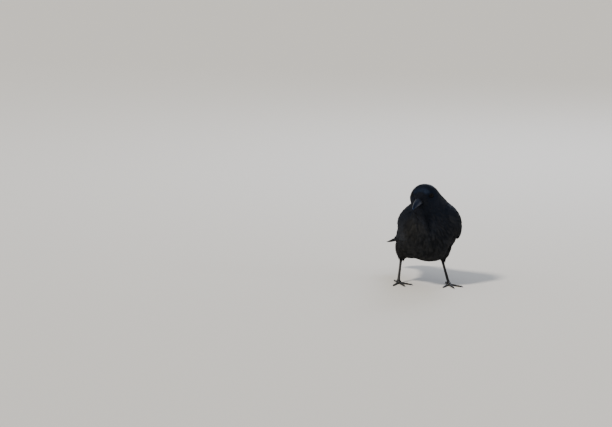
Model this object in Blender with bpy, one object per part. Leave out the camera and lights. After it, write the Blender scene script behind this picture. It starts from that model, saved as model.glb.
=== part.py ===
"""A carrion crow standing on level ground, life size, in the pose of a still museum model.

The bird faces -Y with its tail towards +Y, and its head is turned to its own right, towards -X.
It stands on the flats of its toe pads at z = 0. Lengths are in metres.
"""

import math
from collections import namedtuple

import bmesh
import bpy
import numpy as np
from mathutils import Matrix, Vector

MM = 0.001
GAP = 0.3 * MM
SMOOTH_ANGLE = math.radians(40)

# Each surface's colour and roughness
BLACK_PLUMAGE = ((0.012, 0.012, 0.016), 0.45)
BLACK_HORN = ((0.02, 0.02, 0.022), 0.35)
BLACK_LEG_SCALES = ((0.025, 0.024, 0.024), 0.5)
DARK_BROWN_EYE = ((0.02, 0.009, 0.004), 0.08)

# The head and neck
HEAD_TURN = math.radians(33.0)
HEAD_PITCH = math.radians(13.0)
HEAD_SHIFT = -4 * MM
TURN_PIVOT_Y = -25 * MM
FACE_Y, FACE_Z = -90.7 * MM, 200.4 * MM

# Each row is a slice through the plumage: where it meets the back, y and z, where it meets the
# underside, y and z, half its width, and the share of the head's turn that it takes.
SLICES = {
    "face": (-92.9, 210.1, -88.5, 190.7, 10.5, 1.0),
    "lores": (-86.5, 219.9, -83.8, 184.7, 16.8, 1.0),
    "brow": (-77.5, 228.4, -78.6, 179.0, 24.3, 1.0),
    "crown": (-63.0, 232.6, -73.8, 169.5, 29.6, 1.0),
    "hind_crown": (-48.0, 228.3, -71.5, 157.0, 31.0, 0.86),
    "nape": (-32.0, 216.0, -75.5, 140.0, 33.0, 0.56),
    "neck_base": (-14.0, 203.0, -80.0, 117.0, 44.5, 0.22),
    "shoulders": (10.0, 189.0, -72.0, 89.0, 54.0, 0.03),
    "mid_body": (40.0, 170.0, -48.0, 64.0, 57.0, 0.0),
    "belly": (70.0, 151.5, -8.0, 54.5, 55.0, 0.0),
    "rump": (95.0, 135.0, 38.0, 57.0, 46.0, 0.0),
    "tail_coverts": (115.0, 121.0, 84.0, 74.0, 33.0, 0.0),
    "tail_base": (132.0, 108.0, 126.0, 94.0, 20.0, 0.0),
}
SLICE_NAMES = list(SLICES)
HEAD_END = SLICE_NAMES.index("hind_crown")
NECK_END = SLICE_NAMES.index("neck_base")
BODY_END = SLICE_NAMES.index("tail_base")
BODY_SIDES = 24
RINGS_PER_SLICE = 3
BODY_SQUARENESS = 2.1

# The bill, along the mouth line from the face forwards
BILL_LENGTH = 51.5 * MM
LOWER_BILL_LENGTH = 48.5 * MM
MOUTH_DROP = 0.8 * MM
MOUTH_GAP = 0.4 * MM
BILL_SIDES = 14
BILL_RINGS = 10
BILL_ROOT = 3.0
BILL_FULLNESS = 0.92
MOUTH_SHARES = (-0.5, 0.0, 0.5)
BILL_TIP_HEIGHT, LOWER_BILL_TIP_HEIGHT = -4.6 * MM, -4.0 * MM
# Distance from the face, height of the ridge, droop of the cutting edge, half width
UPPER_BILL = (
    (0.0, 10.4, 0.0, 9.6),
    (10.0, 11.0, 0.0, 8.6),
    (20.0, 10.5, 0.0, 7.3),
    (30.0, 8.8, 0.0, 5.8),
    (38.5, 6.0, -0.3, 4.3),
    (45.0, 2.9, -1.1, 2.8),
    (49.3, 0.0, -2.1, 1.5),
)
# Distance from the face, depth of the keel, droop of the cutting edge, half width
LOWER_BILL = (
    (0.0, 8.4, 0.0, 8.7),
    (10.0, 8.3, 0.0, 7.7),
    (20.0, 7.6, 0.0, 6.4),
    (30.0, 6.2, 0.0, 5.0),
    (38.5, 4.5, -0.3, 3.6),
    (44.5, 3.2, -1.1, 2.2),
)

# The stiff feathers over the bill's base. Each row of BRISTLE_ROWS is the share of the length,
# the height over the bill and the half width.
BRISTLES = 8
BRISTLE_LENGTH = 23.0
BRISTLE_ROOT = 6.0
BRISTLE_SHORTENING = 0.28
BRISTLE_ROWS = ((0.0, -2.2, 1.9), (0.22, 0.75, 1.9), (0.7, 0.85, 1.5), (1.0, 1.1, 0.4))
BRISTLE_THICKNESS = 0.6
BRISTLE_SEED = 7

# The eyes, from the face centre: how far back, up and out
EYE_BACK, EYE_UP, EYE_OUT = 15 * MM, 6.5 * MM, 20.1 * MM
EYE_RADIUS = 5.6 * MM
EYE_SEGMENTS, EYE_RINGS = 14, 8
LID_RADIUS = 5.1 * MM
LID_OUT, LID_HEIGHT = 0.42, 0.92
LID_THICKNESS = 0.95 * MM
LID_SEGMENTS, LID_SIDES = 14, 5

# The folded wing. Each row is a slice across it: y, the lower edge's x and z, the upper edge's
# x and z, how far its outer face bulges, and its thickness.
WING_SLICES = (
    (-62.0, 47.0, 136.0, 44.0, 151.0, 3.0, 8.0),
    (-56.0, 54.0, 124.0, 44.0, 165.0, 7.0, 12.0),
    (-40.0, 58.5, 112.0, 40.5, 178.0, 12.5, 16.0),
    (0.0, 60.5, 104.0, 29.5, 186.0, 16.5, 18.0),
    (40.0, 60.5, 98.0, 18.5, 171.5, 16.0, 16.0),
    (80.0, 55.0, 92.0, 11.0, 151.0, 13.5, 12.0),
    (120.0, 47.0, 87.0, 8.5, 127.0, 9.5, 6.0),
    (160.0, 40.0, 84.5, 10.0, 108.5, 6.5, 3.2),
    (200.0, 34.5, 82.0, 17.0, 96.5, 3.5, 2.4),
    (234.0, 30.0, 77.0, 25.0, 83.0, 0.8, 1.6),
)
WING_ACROSS = 6
CORE_END_Y, WING_END_Y = 101.0, 240.0
CORE_DROP = 3.0
CORE_DROP_FROM_Y, CORE_DROP_TO_Y = -34.0, -4.0
WING_CLEARANCE = 3.6 * MM

# The tiers of the wing's feathers. The feathers of a tier are counted across the wing, and each
# pair of values runs from the first to the last. root_y and root_across place the
# root, tip_y and tip_across the tip. half_width is in millimetres, or 0 for one that follows
# the spacing. lift is how high the vane's middle rides over the wing's outer face, tilt how far
# its lower edge stands over the upper one, and level how much deeper each feather lies than the
# one before it.
Tier = namedtuple(
    "Tier", "count root_y root_across tip_y tip_across half_width lift tilt level narrows_at stations"
)
# Where along its length a feather begins to narrow to its tip, and its sections along it
POINTED, BLUNT = 0.62, 0.8
LONG_VANE = (0.0, 0.35, 0.65, 0.86, 0.96, 1.0)
SHORT_VANE = (0.0, 0.45, 0.8, 0.94, 1.0)
WING_TIERS = {
    "primary": Tier(
        6, (78, 70), (0.72, 0.12), (178, 234), (0.76, 0.22), 6.6, -1.7, 0.3, 0.95, POINTED, LONG_VANE
    ),
    "secondary": Tier(
        7, (6, 0), (0.92, 0.1), (158, 118), (0.83, 0.1), 0, 0.0, 1.7, 0.0, BLUNT, LONG_VANE
    ),
    "greater_covert": Tier(
        7, (-34, -40), (0.9, 0.08), (58, 41), (0.91, 0.1), 0, 2.0, 1.5, 0.0, BLUNT, SHORT_VANE
    ),
    "median_covert": Tier(
        6, (-48, -52), (0.84, 0.14), (14, 4), (0.87, 0.13), 0, 3.6, 1.3, 0.0, BLUNT, SHORT_VANE
    ),
    "primary_covert": Tier(
        3, (-54, -50), (0.03, 0.1), (34, 74), (0.01, 0.12), 3.6, 3.1, 0.6, 0.95, BLUNT, SHORT_VANE
    ),
}
TIP_EASE = 0.85
VANE_OVERLAP = 0.8
VANE_RISE = 2.3
ROOT_DEPTH = 1.6
VANE_THICKNESS, VANE_TIP_THICKNESS = 0.55, 0.4
VANE_ROOT_WIDTH, VANE_TIP_WIDTH = 0.6, 0.32

# The tail
TAIL_TIP_X, TAIL_TIP_Y, TAIL_TIP_Z = -6 * MM, 248 * MM, 65 * MM
# The fleshy base under the coverts: how far along the tail, half width and half thickness
TAIL_BASE = ((0.08, 19.5, 6.0), (0.2, 18.5, 4.2), (0.3, 15.0, 2.6))
TAIL_SQUARENESS = 2.3
TAIL_ROOT_SHARE = 0.1
TAIL_FEATHERS_A_SIDE = 6
TAIL_FEATHER_HALF_WIDTH = 8.0
TAIL_ROOT_STEP, TAIL_TIP_STEP, TAIL_MIDDLE_SPREAD = 2.1, 4.1, 4.5
TAIL_LEVEL = 0.95
# Each pair is shorter than the last by this share of its number squared, and the tail's upper
# face falls away from its middle by this much for each square millimetre
TAIL_ROUNDING = 0.0035
TAIL_ROOF = 0.0022
TAIL_TOP = 3.4
TAIL_VANE = (0.0, 0.25, 0.5, 0.75, 0.92, 0.98, 1.0)

# The legs: the foot's place on the ground, the heel joint, and the knee inside the plumage
LEGS = {
    "left": {"foot": (42, -10), "heel": (31, 12, 60), "knee": (34, -18, 102), "toe_out": 1},
    "right": {"foot": (-58, 42), "heel": (-48, 58, 60), "knee": (-44, 16, 102), "toe_out": -1},
}
THIGH_RADIUS = 19.5 * MM
THIGH_END_RADIUS = 8.5 * MM
THIGH_STOP = 3 * MM
THIGH_SIDES = 16
THIGH_DEPTH = 1.15
# Share of the way from the knee, and share of the radius; the last is set by the end's radius
THIGH_SWELL = ((0.0, 0.62), (0.15, 0.95), (0.35, 1.06), (0.55, 0.98), (0.75, 0.78), (0.9, 0.56))
THIGH_OVERLAP = 1 * MM
HEEL_TOP_RADIUS, HEEL_RADIUS = 3.6 * MM, 4.3 * MM
TARSUS_RADIUS = 2.9 * MM
TARSUS_SWELL = 0.12
TARSUS_SHARES = (0.07, 0.38, 0.69, 1.0)
TARSUS_SIDES = 8
SCUTES = 8
SCUTES_FROM, SCUTED_SHARE = 0.12, 0.74
SCUTE_TOP_HEIGHT, SCUTE_HEIGHT = 0.1 * MM, 0.65 * MM
HUB_HALF_LENGTH, HUB_HALF_WIDTH, HUB_HALF_HEIGHT = 11 * MM, 7.5 * MM, 5.6 * MM
HUB_Z = 4.4 * MM

# Each toe: its heading from straight ahead, its length without the claw, its root radius, the
# claw's length, and its count of pads
TOES = {
    "inner": (-31, 30, 2.35, 11.5, 3),
    "middle": (-1, 40, 2.4, 12.5, 4),
    "outer": (30, 32, 2.3, 10.5, 4),
    "hind": (177, 22, 2.5, 14.5, 2),
}
TOE_SIDES = 7
TOE_TIP_SHARE = 0.72
TOE_START = 4 * MM
TOE_EXTRA = 7
TOE_PAD_SWELL = 0.1
RINGS_PER_PAD = 3
CLAW_SIDES = 6
CLAW_STEPS = 5
CLAW_BEND = math.radians(78)
CLAW_SLOPE = math.radians(24)
CLAW_SHARE = 0.86
CLAW_LOWEST = 0.35 * MM


def clear_scene():
    for obj in list(bpy.data.objects):
        bpy.data.objects.remove(obj, do_unlink=True)


def make_material(name, colour, roughness):
    """A plain Principled surface. Nothing on the bird is metal."""
    made = bpy.data.materials.new(name)
    made.use_nodes = True
    shader = made.node_tree.nodes["Principled BSDF"]
    shader.inputs["Base Color"].default_value = (*colour, 1.0)
    shader.inputs["Roughness"].default_value = roughness
    shader.inputs["Metallic"].default_value = 0.0
    return made


def add_object(name, bm):
    """Turns a bmesh into an object of the scene."""
    mesh = bpy.data.meshes.new(name)
    bm.to_mesh(mesh)
    bm.free()
    obj = bpy.data.objects.new(name, mesh)
    bpy.context.scene.collection.objects.link(obj)
    return obj


def unit(vector):
    return vector / np.linalg.norm(vector)


def spline(rows, at):
    """The row at a fractional index, on a smooth curve through all rows."""
    rows = np.asarray(rows, float)
    last = len(rows) - 1
    at = min(max(at, 0.0), float(last))
    i = min(int(at), last - 1)
    t = at - i
    p1, p2 = rows[i], rows[i + 1]
    p0 = rows[i - 1] if i > 0 else 2 * p1 - p2
    p3 = rows[i + 2] if i + 2 <= last else 2 * p2 - p1
    linear = (p2 - p0) * t
    square = (2 * p0 - 5 * p1 + 4 * p2 - p3) * t**2
    cube = (3 * p1 - p0 - 3 * p2 + p3) * t**3
    return 0.5 * (2 * p1 + linear + square + cube)


def between(rows, key):
    """The row where the first column is key, on the same smooth curve."""
    rows = np.asarray(rows, float)
    keys = rows[:, 0]
    i = int(np.clip(np.searchsorted(keys, key) - 1, 0, len(keys) - 2))
    lo, hi = float(i), float(i + 1)
    for _ in range(30):
        middle = (lo + hi) / 2
        if spline(rows, middle)[0] < key:
            lo = middle
        else:
            hi = middle
    return spline(rows, (lo + hi) / 2)


def turned(point, share=1.0):
    """A point carried round with the head's turn."""
    angle = -HEAD_TURN * share
    x, y = point[0], point[1] - TURN_PIVOT_Y
    turned_x = x * math.cos(angle) - y * math.sin(angle) + HEAD_SHIFT * share
    turned_y = x * math.sin(angle) + y * math.cos(angle) + TURN_PIVOT_Y
    return np.array([turned_x, turned_y, point[2]])


def outline(count, squareness):
    """Points round a unit superellipse, from its top, as pairs of side and up."""
    power = 2 / squareness
    pairs = []
    for i in range(count):
        angle = 2 * math.pi * i / count
        side, up = math.sin(angle), math.cos(angle)
        pairs.append((math.copysign(abs(side) ** power, side), math.copysign(abs(up) ** power, up)))
    return pairs


def body_ring(at, grow=0.0, shift=0.0):
    """One ring of the plumage's surface. shift moves it along the body, towards the tail."""
    back_y, back_z, under_y, under_z, half, share = spline(list(SLICES.values()), at)
    back = np.array([0.0, back_y, back_z]) * MM
    under = np.array([0.0, under_y, under_z]) * MM
    centre = (back + under) / 2
    up = unit(back - under)
    along = np.array([0.0, up[2], -up[1]])
    half_height = np.linalg.norm(back - under) / 2 + grow
    half_width = half * MM + grow
    ring = []
    for side, rise in outline(BODY_SIDES, BODY_SQUARENESS):
        point = centre + up * half_height * rise + along * shift
        point[0] += half_width * side
        ring.append(turned(point, share))
    return ring


def loft(name, rings, tip=None, root=None):
    """A closed mesh through the rings, with flat ends or a point at either end."""
    bm = bmesh.new()
    rows = [[bm.verts.new(Vector(p)) for p in ring] for ring in rings]
    count = len(rows[0])
    for first, second in zip(rows, rows[1:]):
        for i in range(count):
            j = (i + 1) % count
            bm.faces.new((first[i], first[j], second[j], second[i]))
    for row, point, turn in ((rows[0], root, 1), (rows[-1], tip, -1)):
        if point is None:
            bm.faces.new(row[::-turn])
            continue
        end = bm.verts.new(Vector(point))
        for i in range(count):
            bm.faces.new((row[(i + 1) % count], row[i], end)[::turn])
    bmesh.ops.recalc_face_normals(bm, faces=bm.faces)
    return add_object(name, bm)


def boolean(obj, others, operation):
    """Joins closed meshes to obj, or cuts them from it, and removes them."""
    group = bpy.data.collections.new("operands")
    bpy.context.scene.collection.children.link(group)
    for other in others:
        group.objects.link(other)
    modifier = obj.modifiers.new(operation.title(), "BOOLEAN")
    modifier.operation = operation
    modifier.operand_type = "COLLECTION"
    modifier.collection = group
    modifier.solver = "MANIFOLD"
    bpy.context.view_layer.update()
    graph = bpy.context.evaluated_depsgraph_get()
    made = bpy.data.meshes.new_from_object(obj.evaluated_get(graph))
    obj.modifiers.remove(modifier)
    obj.data = made
    for other in others:
        bpy.data.objects.remove(other, do_unlink=True)
    bpy.data.collections.remove(group)
    keep_largest(obj)
    return obj


def signed_volume(faces):
    total = 0.0
    for face in faces:
        a = face.verts[0].co
        for b, c in zip(face.verts[1:-1], face.verts[2:]):
            total += a.dot(b.co.cross(c.co)) / 6
    return total


def surface_with(start, left):
    """The faces joined to start, taken out of the set that they are left in."""
    group, queue = [start], [start]
    while queue:
        for edge in queue.pop().edges:
            for near in edge.link_faces:
                if near in left:
                    left.discard(near)
                    group.append(near)
                    queue.append(near)
    return group


def keep_largest(obj):
    """Drops all but the largest closed surface."""
    bm = bmesh.new()
    bm.from_mesh(obj.data)
    left = set(bm.faces)
    groups = []
    while left:
        groups.append(surface_with(left.pop(), left))
    groups.sort(key=signed_volume, reverse=True)
    spare = [face for group in groups[1:] for face in group]
    bmesh.ops.delete(bm, geom=spare, context="FACES")
    bm.to_mesh(obj.data)
    bm.free()


def body_part(name, start, end, grow=0.0):
    """The stretch of the plumage between two slices."""
    steps = (end - start) * RINGS_PER_SLICE
    rings = []
    for i in range(steps + 1):
        shift = GAP / 2 if i == 0 and start > 0 else 0.0
        shift -= GAP / 2 if i == steps else 0.0
        shift -= grow if i == 0 else 0.0
        shift += grow if i == steps else 0.0
        rings.append(body_ring(start + i / RINGS_PER_SLICE, grow, shift))
    return loft(name, rings)


def face_frame():
    """The face's centre, and its forward, up and sideways directions, turned with the head."""
    centre = np.array([0.0, FACE_Y, FACE_Z])
    forward = np.array([0.0, -math.cos(HEAD_PITCH), -math.sin(HEAD_PITCH)])
    up = np.array([0.0, -math.sin(HEAD_PITCH), math.cos(HEAD_PITCH)])
    side = np.array([1.0, 0.0, 0.0])
    origin = turned(centre)
    return origin, *(turned(centre + v) - origin for v in (forward, up, side))


def bill_ring(rows, sign, distance):
    """A ring of the upper bill, sign 1, or the lower bill, sign -1: a rounded ridge or keel
    above or below a flat mouth."""
    origin, forward, up, side = face_frame()
    _, height, droop, half = between(rows, distance) * MM
    edge = -MOUTH_DROP + droop + sign * MOUTH_GAP / 2
    peak = -MOUTH_DROP + sign * height
    centre = origin + forward * distance * MM
    ring = []
    arc = BILL_SIDES - len(MOUTH_SHARES) - 1
    for i in range(arc + 1):
        angle = math.pi * i / arc
        out = math.cos(angle) * half
        rise = math.sin(angle) ** BILL_FULLNESS * abs(peak - edge) * sign
        ring.append(centre + side * out + up * (edge + rise))
    for share in MOUTH_SHARES:
        ring.append(centre + side * share * half + up * edge)
    return ring


def make_bill(name, rows, sign, length, tip_height):
    origin, forward, up, _ = face_frame()
    first = rows[0][0]
    last = rows[-1][0]
    distances = [first - BILL_ROOT, *np.linspace(first, last, BILL_RINGS)]
    rings = [bill_ring(rows, sign, d) for d in distances]
    tip = origin + forward * length + up * tip_height
    bill = loft(name, rings, tip=tip)
    return boolean(bill, [body_part("face_cut", 0, HEAD_END, GAP)], "DIFFERENCE")


def bristle(index, rng):
    """One of the stiff feathers that lie forwards from the forehead over the bill's base."""
    origin, forward, up, side = face_frame()
    turn = math.pi * (0.09 + 0.82 * index / (BRISTLES - 1))
    length = BRISTLE_LENGTH * (1 - BRISTLE_SHORTENING * abs(math.cos(turn))) * rng.uniform(0.93, 1.07)
    rows = []
    for share, lift, width in BRISTLE_ROWS:
        distance = (length + BRISTLE_ROOT) * share - BRISTLE_ROOT
        _, height, _, half = between(UPPER_BILL, max(distance, 0.0))
        row = []
        for edge, face in ((-1, 1), (1, 1), (1, -1), (-1, -1)):
            reach = lift + face * BRISTLE_THICKNESS / 2
            angle = turn + edge * width / half
            out = math.cos(angle) * (half + reach)
            rise = math.sin(angle) * (height + reach)
            row.append(origin + (forward * distance + side * out + up * rise) * MM)
        rows.append(row)
    return plate(f"bristle_{index}", rows)


def eye_centre(sign):
    origin, forward, up, side = face_frame()
    return origin - forward * EYE_BACK + up * EYE_UP + side * sign * EYE_OUT


def ball(name, centre, radius):
    bm = bmesh.new()
    bmesh.ops.create_uvsphere(bm, u_segments=EYE_SEGMENTS, v_segments=EYE_RINGS, radius=radius)
    bmesh.ops.translate(bm, verts=bm.verts, vec=Vector(centre))
    return add_object(name, bm)


def lid_rim(name, sign):
    """The bare rim of the lids, a ring that stands round the eye."""
    _, forward, up, side = face_frame()
    outwards = unit(side * sign * 0.9 + forward * 0.42 + up * 0.1)
    across = unit(np.cross(up, outwards))
    upwards = np.cross(outwards, across)
    centre = eye_centre(sign) + outwards * EYE_RADIUS * LID_OUT
    bm = bmesh.new()
    rows = []
    for i in range(LID_SEGMENTS):
        angle = 2 * math.pi * i / LID_SEGMENTS
        spoke = across * math.cos(angle) + upwards * math.sin(angle) * LID_HEIGHT
        row = []
        for j in range(LID_SIDES):
            turn = 2 * math.pi * j / LID_SIDES
            bend = spoke * math.cos(turn) + outwards * math.sin(turn)
            row.append(bm.verts.new(Vector(centre + spoke * LID_RADIUS + bend * LID_THICKNESS)))
        rows.append(row)
    for k, first in enumerate(rows):
        second = rows[(k + 1) % LID_SEGMENTS]
        for i in range(LID_SIDES):
            j = (i + 1) % LID_SIDES
            bm.faces.new((first[i], first[j], second[j], second[i]))
    bmesh.ops.recalc_face_normals(bm, faces=bm.faces)
    return add_object(name, bm)


def make_head():
    head = body_part("head", 0, HEAD_END)
    rng = np.random.default_rng(BRISTLE_SEED)
    bristles = [bristle(i, rng) for i in range(BRISTLES)]
    lids = [lid_rim("lid", sign) for sign in (1, -1)]
    boolean(head, bristles + lids, "UNION")
    sockets = [ball("socket", eye_centre(sign), EYE_RADIUS + GAP) for sign in (1, -1)]
    return boolean(head, sockets, "DIFFERENCE")


def wing_point(y, across, sign, lift=0.0):
    """A point of the folded wing's outer face: across runs from the lower edge, 0, to the
    upper edge, 1."""
    _, low_x, low_z, high_x, high_z, bulge, _ = between(WING_SLICES, y)
    low, high = np.array([low_x, low_z]), np.array([high_x, high_z])
    chord = high - low
    width = np.linalg.norm(chord)
    normal = np.array([chord[1], -chord[0]]) / width
    swell = 4 * across * (1 - across)
    slope = 4 * (1 - 2 * across) * bulge / width
    outward = unit(normal - chord / width * slope)
    x, z = low + chord * across + normal * bulge * swell + outward * lift / MM
    return np.array([sign * x, y, z]) * MM


def core_drop(y):
    """How far the wing's core lies under its outer face, where feathers cover it."""
    share = (y - CORE_DROP_FROM_Y) / (CORE_DROP_TO_Y - CORE_DROP_FROM_Y)
    return CORE_DROP * min(max(share, 0.0), 1.0)


def wing_width(y):
    """The distance between the wing's edges at y, in millimetres."""
    _, low_x, low_z, high_x, high_z, _, _ = between(WING_SLICES, y)
    return math.hypot(high_x - low_x, high_z - low_z)


def wing_core(name, sign, end, grow=0.0, dropped=True):
    """The folded wing as one smooth body, as far back as end."""
    rings = []
    last = len(WING_SLICES) - 1
    for at in np.linspace(0, last, 2 * last + 1):
        y = spline(WING_SLICES, at)[0]
        if y > end:
            break
        thickness = spline(WING_SLICES, at)[-1] * MM
        edge = grow / MM / wing_width(y)
        shares = np.linspace(-edge, 1.0 + edge, WING_ACROSS)
        drop = core_drop(y) * MM if dropped else 0.0
        outer = [wing_point(y, a, sign, grow - drop) for a in shares]
        inner = [wing_point(y, a, sign, -thickness - grow) for a in shares[::-1]]
        rings.append(outer + inner)
    return loft(name, rings)


def plate(name, rows):
    """A closed thin plate through sections of four corners: top left, top right, bottom right,
    bottom left. Both faces are split into triangles alike."""
    bm = bmesh.new()
    grid = [[bm.verts.new(Vector(p)) for p in row] for row in rows]
    for first, second in zip(grid, grid[1:]):
        bm.faces.new((first[0], first[1], second[1]))
        bm.faces.new((first[0], second[1], second[0]))
        bm.faces.new((first[3], second[2], first[2]))
        bm.faces.new((first[3], second[3], second[2]))
        bm.faces.new((first[1], first[2], second[2]))
        bm.faces.new((first[1], second[2], second[1]))
        bm.faces.new((first[3], first[0], second[0]))
        bm.faces.new((first[3], second[0], second[3]))
    bm.faces.new(grid[0])
    bm.faces.new(grid[-1][::-1])
    bmesh.ops.recalc_face_normals(bm, faces=bm.faces)
    return add_object(name, bm)


def vane_width(share, narrows_at):
    """A feather's width along its length, as a share of its widest."""
    width = min(1.0, VANE_ROOT_WIDTH + 1.5 * share)
    if share <= narrows_at:
        return width
    fall = (share - narrows_at) / (1 - narrows_at)
    return width * max(VANE_TIP_WIDTH, math.sqrt(max(0.0, 1 - fall**2)))


def from_to(pair, share):
    return pair[0] + (pair[1] - pair[0]) * share


def wing_vane(key, k, sign):
    """One feather of a tier, laid along the wing's outer face with its lower edge raised over
    the feather below it."""
    tier = WING_TIERS[key]
    last = tier.count - 1
    root_y, root_across = from_to(tier.root_y, k / last), from_to(tier.root_across, k / last)
    eased = (k / last) ** TIP_EASE
    tip_y, tip_across = from_to(tier.tip_y, eased), from_to(tier.tip_across, k / last)
    root_step = (tier.root_across[0] - tier.root_across[1]) / last
    tip_step = (tier.tip_across[0] - tier.tip_across[1]) / last
    full_lift = tier.lift - tier.level * k
    root_lift = -core_drop(root_y) - ROOT_DEPTH - tier.level * k
    rows = []
    for t in tier.stations:
        y = from_to((root_y, tip_y), t)
        across = from_to((root_across, tip_across), t)
        reach = tier.half_width / wing_width(y)
        if not tier.half_width:
            reach = VANE_OVERLAP * from_to((root_step, tip_step), t)
        reach *= vane_width(t, tier.narrows_at)
        level = from_to((root_lift, full_lift), min(1.0, VANE_RISE * t))
        thick = VANE_THICKNESS if t < 0.9 else VANE_TIP_THICKNESS
        row = []
        for edge, side in ((1, 1), (-1, 1), (-1, -1), (1, -1)):
            lift = level - edge * tier.tilt / 2 + side * thick / 2
            row.append(wing_point(y, across + edge * reach, sign, lift * MM))
        rows.append(row)
    return plate(f"{key}_{k}", rows)


def make_wing(name, sign):
    wing = wing_core(name, sign, CORE_END_Y)
    vanes = []
    for key, tier in WING_TIERS.items():
        vanes += [wing_vane(key, k, sign) for k in range(tier.count)]
    boolean(wing, vanes, "UNION")
    return boolean(wing, [body_part("body_cut", 0, BODY_END, 2 * GAP)], "DIFFERENCE")


def tail_line(share):
    """The tail's middle line from its base, 0, to its tip, 1."""
    back_y, back_z, under_y, under_z, _, _ = SLICES["tail_base"]
    base = np.array([0.0, (back_y + under_y) / 2, (back_z + under_z) / 2]) * MM
    tip = np.array([TAIL_TIP_X, TAIL_TIP_Y, TAIL_TIP_Z])
    return base + (tip - base) * share


def tail_feather(k, side):
    """One tail feather. k counts from the middle pair outwards, and each pair lies under the
    one before it."""
    along = unit(tail_line(1.0) - tail_line(0.0))
    up = unit(np.array([0.0, -along[2], along[1]]))
    level = k + 1 if k or side < 0 else 0
    length = 1.0 - TAIL_ROUNDING * k**2
    root_x, tip_x = TAIL_ROOT_STEP * (k + 0.6), TAIL_TIP_STEP * k + TAIL_MIDDLE_SPREAD
    rows = []
    for t in TAIL_VANE:
        share = from_to((TAIL_ROOT_SHARE, length), t)
        half = TAIL_FEATHER_HALF_WIDTH * from_to((0.5, 1.0), min(1.0, 1.4 * t))
        half *= vane_width(max(t, 0.3), BLUNT)
        sink = level * from_to((0.45, 1.0), t) * TAIL_LEVEL
        thick = VANE_THICKNESS if t < 0.9 else VANE_TIP_THICKNESS
        row = []
        for edge, face in ((-1, 1), (1, 1), (1, -1), (-1, -1)):
            x = side * from_to((root_x, tip_x), t) + edge * half
            lift = TAIL_TOP * from_to((1.0, 0.3), t) - sink - TAIL_ROOF * x**2 + face * thick / 2
            row.append(tail_line(share) + np.array([x, 0, 0]) * MM + up * lift * MM)
        rows.append(row)
    return plate(f"rectrix_{k}_{side}", rows)


def make_tail():
    rings = [body_ring(BODY_END, 0.0, GAP / 2)]
    along = unit(tail_line(1.0) - tail_line(0.0))
    up = np.array([0.0, -along[2], along[1]])
    for share, half, thick in TAIL_BASE:
        centre = tail_line(share)
        ring = []
        for side, rise in outline(BODY_SIDES, TAIL_SQUARENESS):
            point = centre + up * rise * thick * MM
            point[0] += side * half * MM
            ring.append(point)
        rings.append(ring)
    feathers = [tail_feather(k, side) for k in range(TAIL_FEATHERS_A_SIDE) for side in (1, -1)]
    return boolean(loft("tail", rings), feathers, "UNION")


def tube_rings(points, radii, sides):
    """Rings along a path, square to it, kept level sideways."""
    rings = []
    for i, (point, radius) in enumerate(zip(points, radii)):
        along = unit(points[min(i + 1, len(points) - 1)] - points[max(i - 1, 0)])
        side = np.cross(along, [0.0, 0.0, 1.0])
        if np.linalg.norm(side) < 0.2:
            side = np.array([1.0, 0.0, 0.0])
        side = unit(side - along * np.dot(side, along))
        up = np.cross(side, along)
        rings.append([point + (side * s + up * u) * radius for s, u in outline(sides, 2)])
    return rings


def leg_line(leg):
    """The heel joint, the knee, and the direction from the knee to the heel."""
    heel, knee = np.array(leg["heel"]) * MM, np.array(leg["knee"]) * MM
    return heel, knee, unit(heel - knee)


def thigh_loft(name, leg, grow=0.0):
    heel, knee, along = leg_line(leg)
    end = heel - along * (THIGH_STOP - grow)
    side = np.array([1.0, 0.0, 0.0])
    side = unit(side - along * np.dot(side, along))
    front = np.cross(along, side) * THIGH_DEPTH
    rings = []
    for share, size in (*THIGH_SWELL, (1.0, THIGH_END_RADIUS / THIGH_RADIUS)):
        point = knee + (end - knee) * share
        radius = THIGH_RADIUS * size + grow
        rings.append([point + (side * s + front * f) * radius for s, f in outline(THIGH_SIDES, 2)])
    return loft(name, rings)


def make_thigh(name, leg, sign):
    cutters = [
        body_part("body_cut", 0, BODY_END, 2 * GAP),
        wing_core("wing_cut", sign, WING_END_Y, WING_CLEARANCE, dropped=False),
    ]
    return boolean(thigh_loft(name, leg), cutters, "DIFFERENCE")


def foot_hub(name, leg, grow=0.0):
    """The sole that the toes spring from, flat underneath unless it is a grown cutter."""
    x, y = leg["foot"]
    bm = bmesh.new()
    bmesh.ops.create_uvsphere(bm, u_segments=12, v_segments=8, radius=1.0)
    scale = Vector((HUB_HALF_WIDTH + grow, HUB_HALF_LENGTH + grow, HUB_HALF_HEIGHT + grow))
    bmesh.ops.scale(bm, vec=scale, verts=bm.verts)
    bmesh.ops.translate(bm, verts=bm.verts, vec=Vector((x * MM, y * MM, HUB_Z)))
    obj = add_object(name, bm)
    if not grow:
        flatten_under(obj, 0.0)
    return obj


def scute(name, centre, along, front, radius, length):
    """One horny plate round the front of the shank, its lower edge proud of the next plate."""
    side = np.cross(along, front)
    rows = []
    for down, proud in ((-0.5, SCUTE_TOP_HEIGHT), (0.5, SCUTE_HEIGHT)):
        middle = centre + along * down * length
        arc = []
        for turn in (-70, -25, 25, 70):
            angle = math.radians(turn)
            spoke = front * math.cos(angle) + side * math.sin(angle)
            arc.append(middle + spoke * (radius + proud))
        arc += [middle + side * radius * 0.5, middle - side * radius * 0.5]
        rows.append(arc)
    return loft(name, rows)


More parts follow.
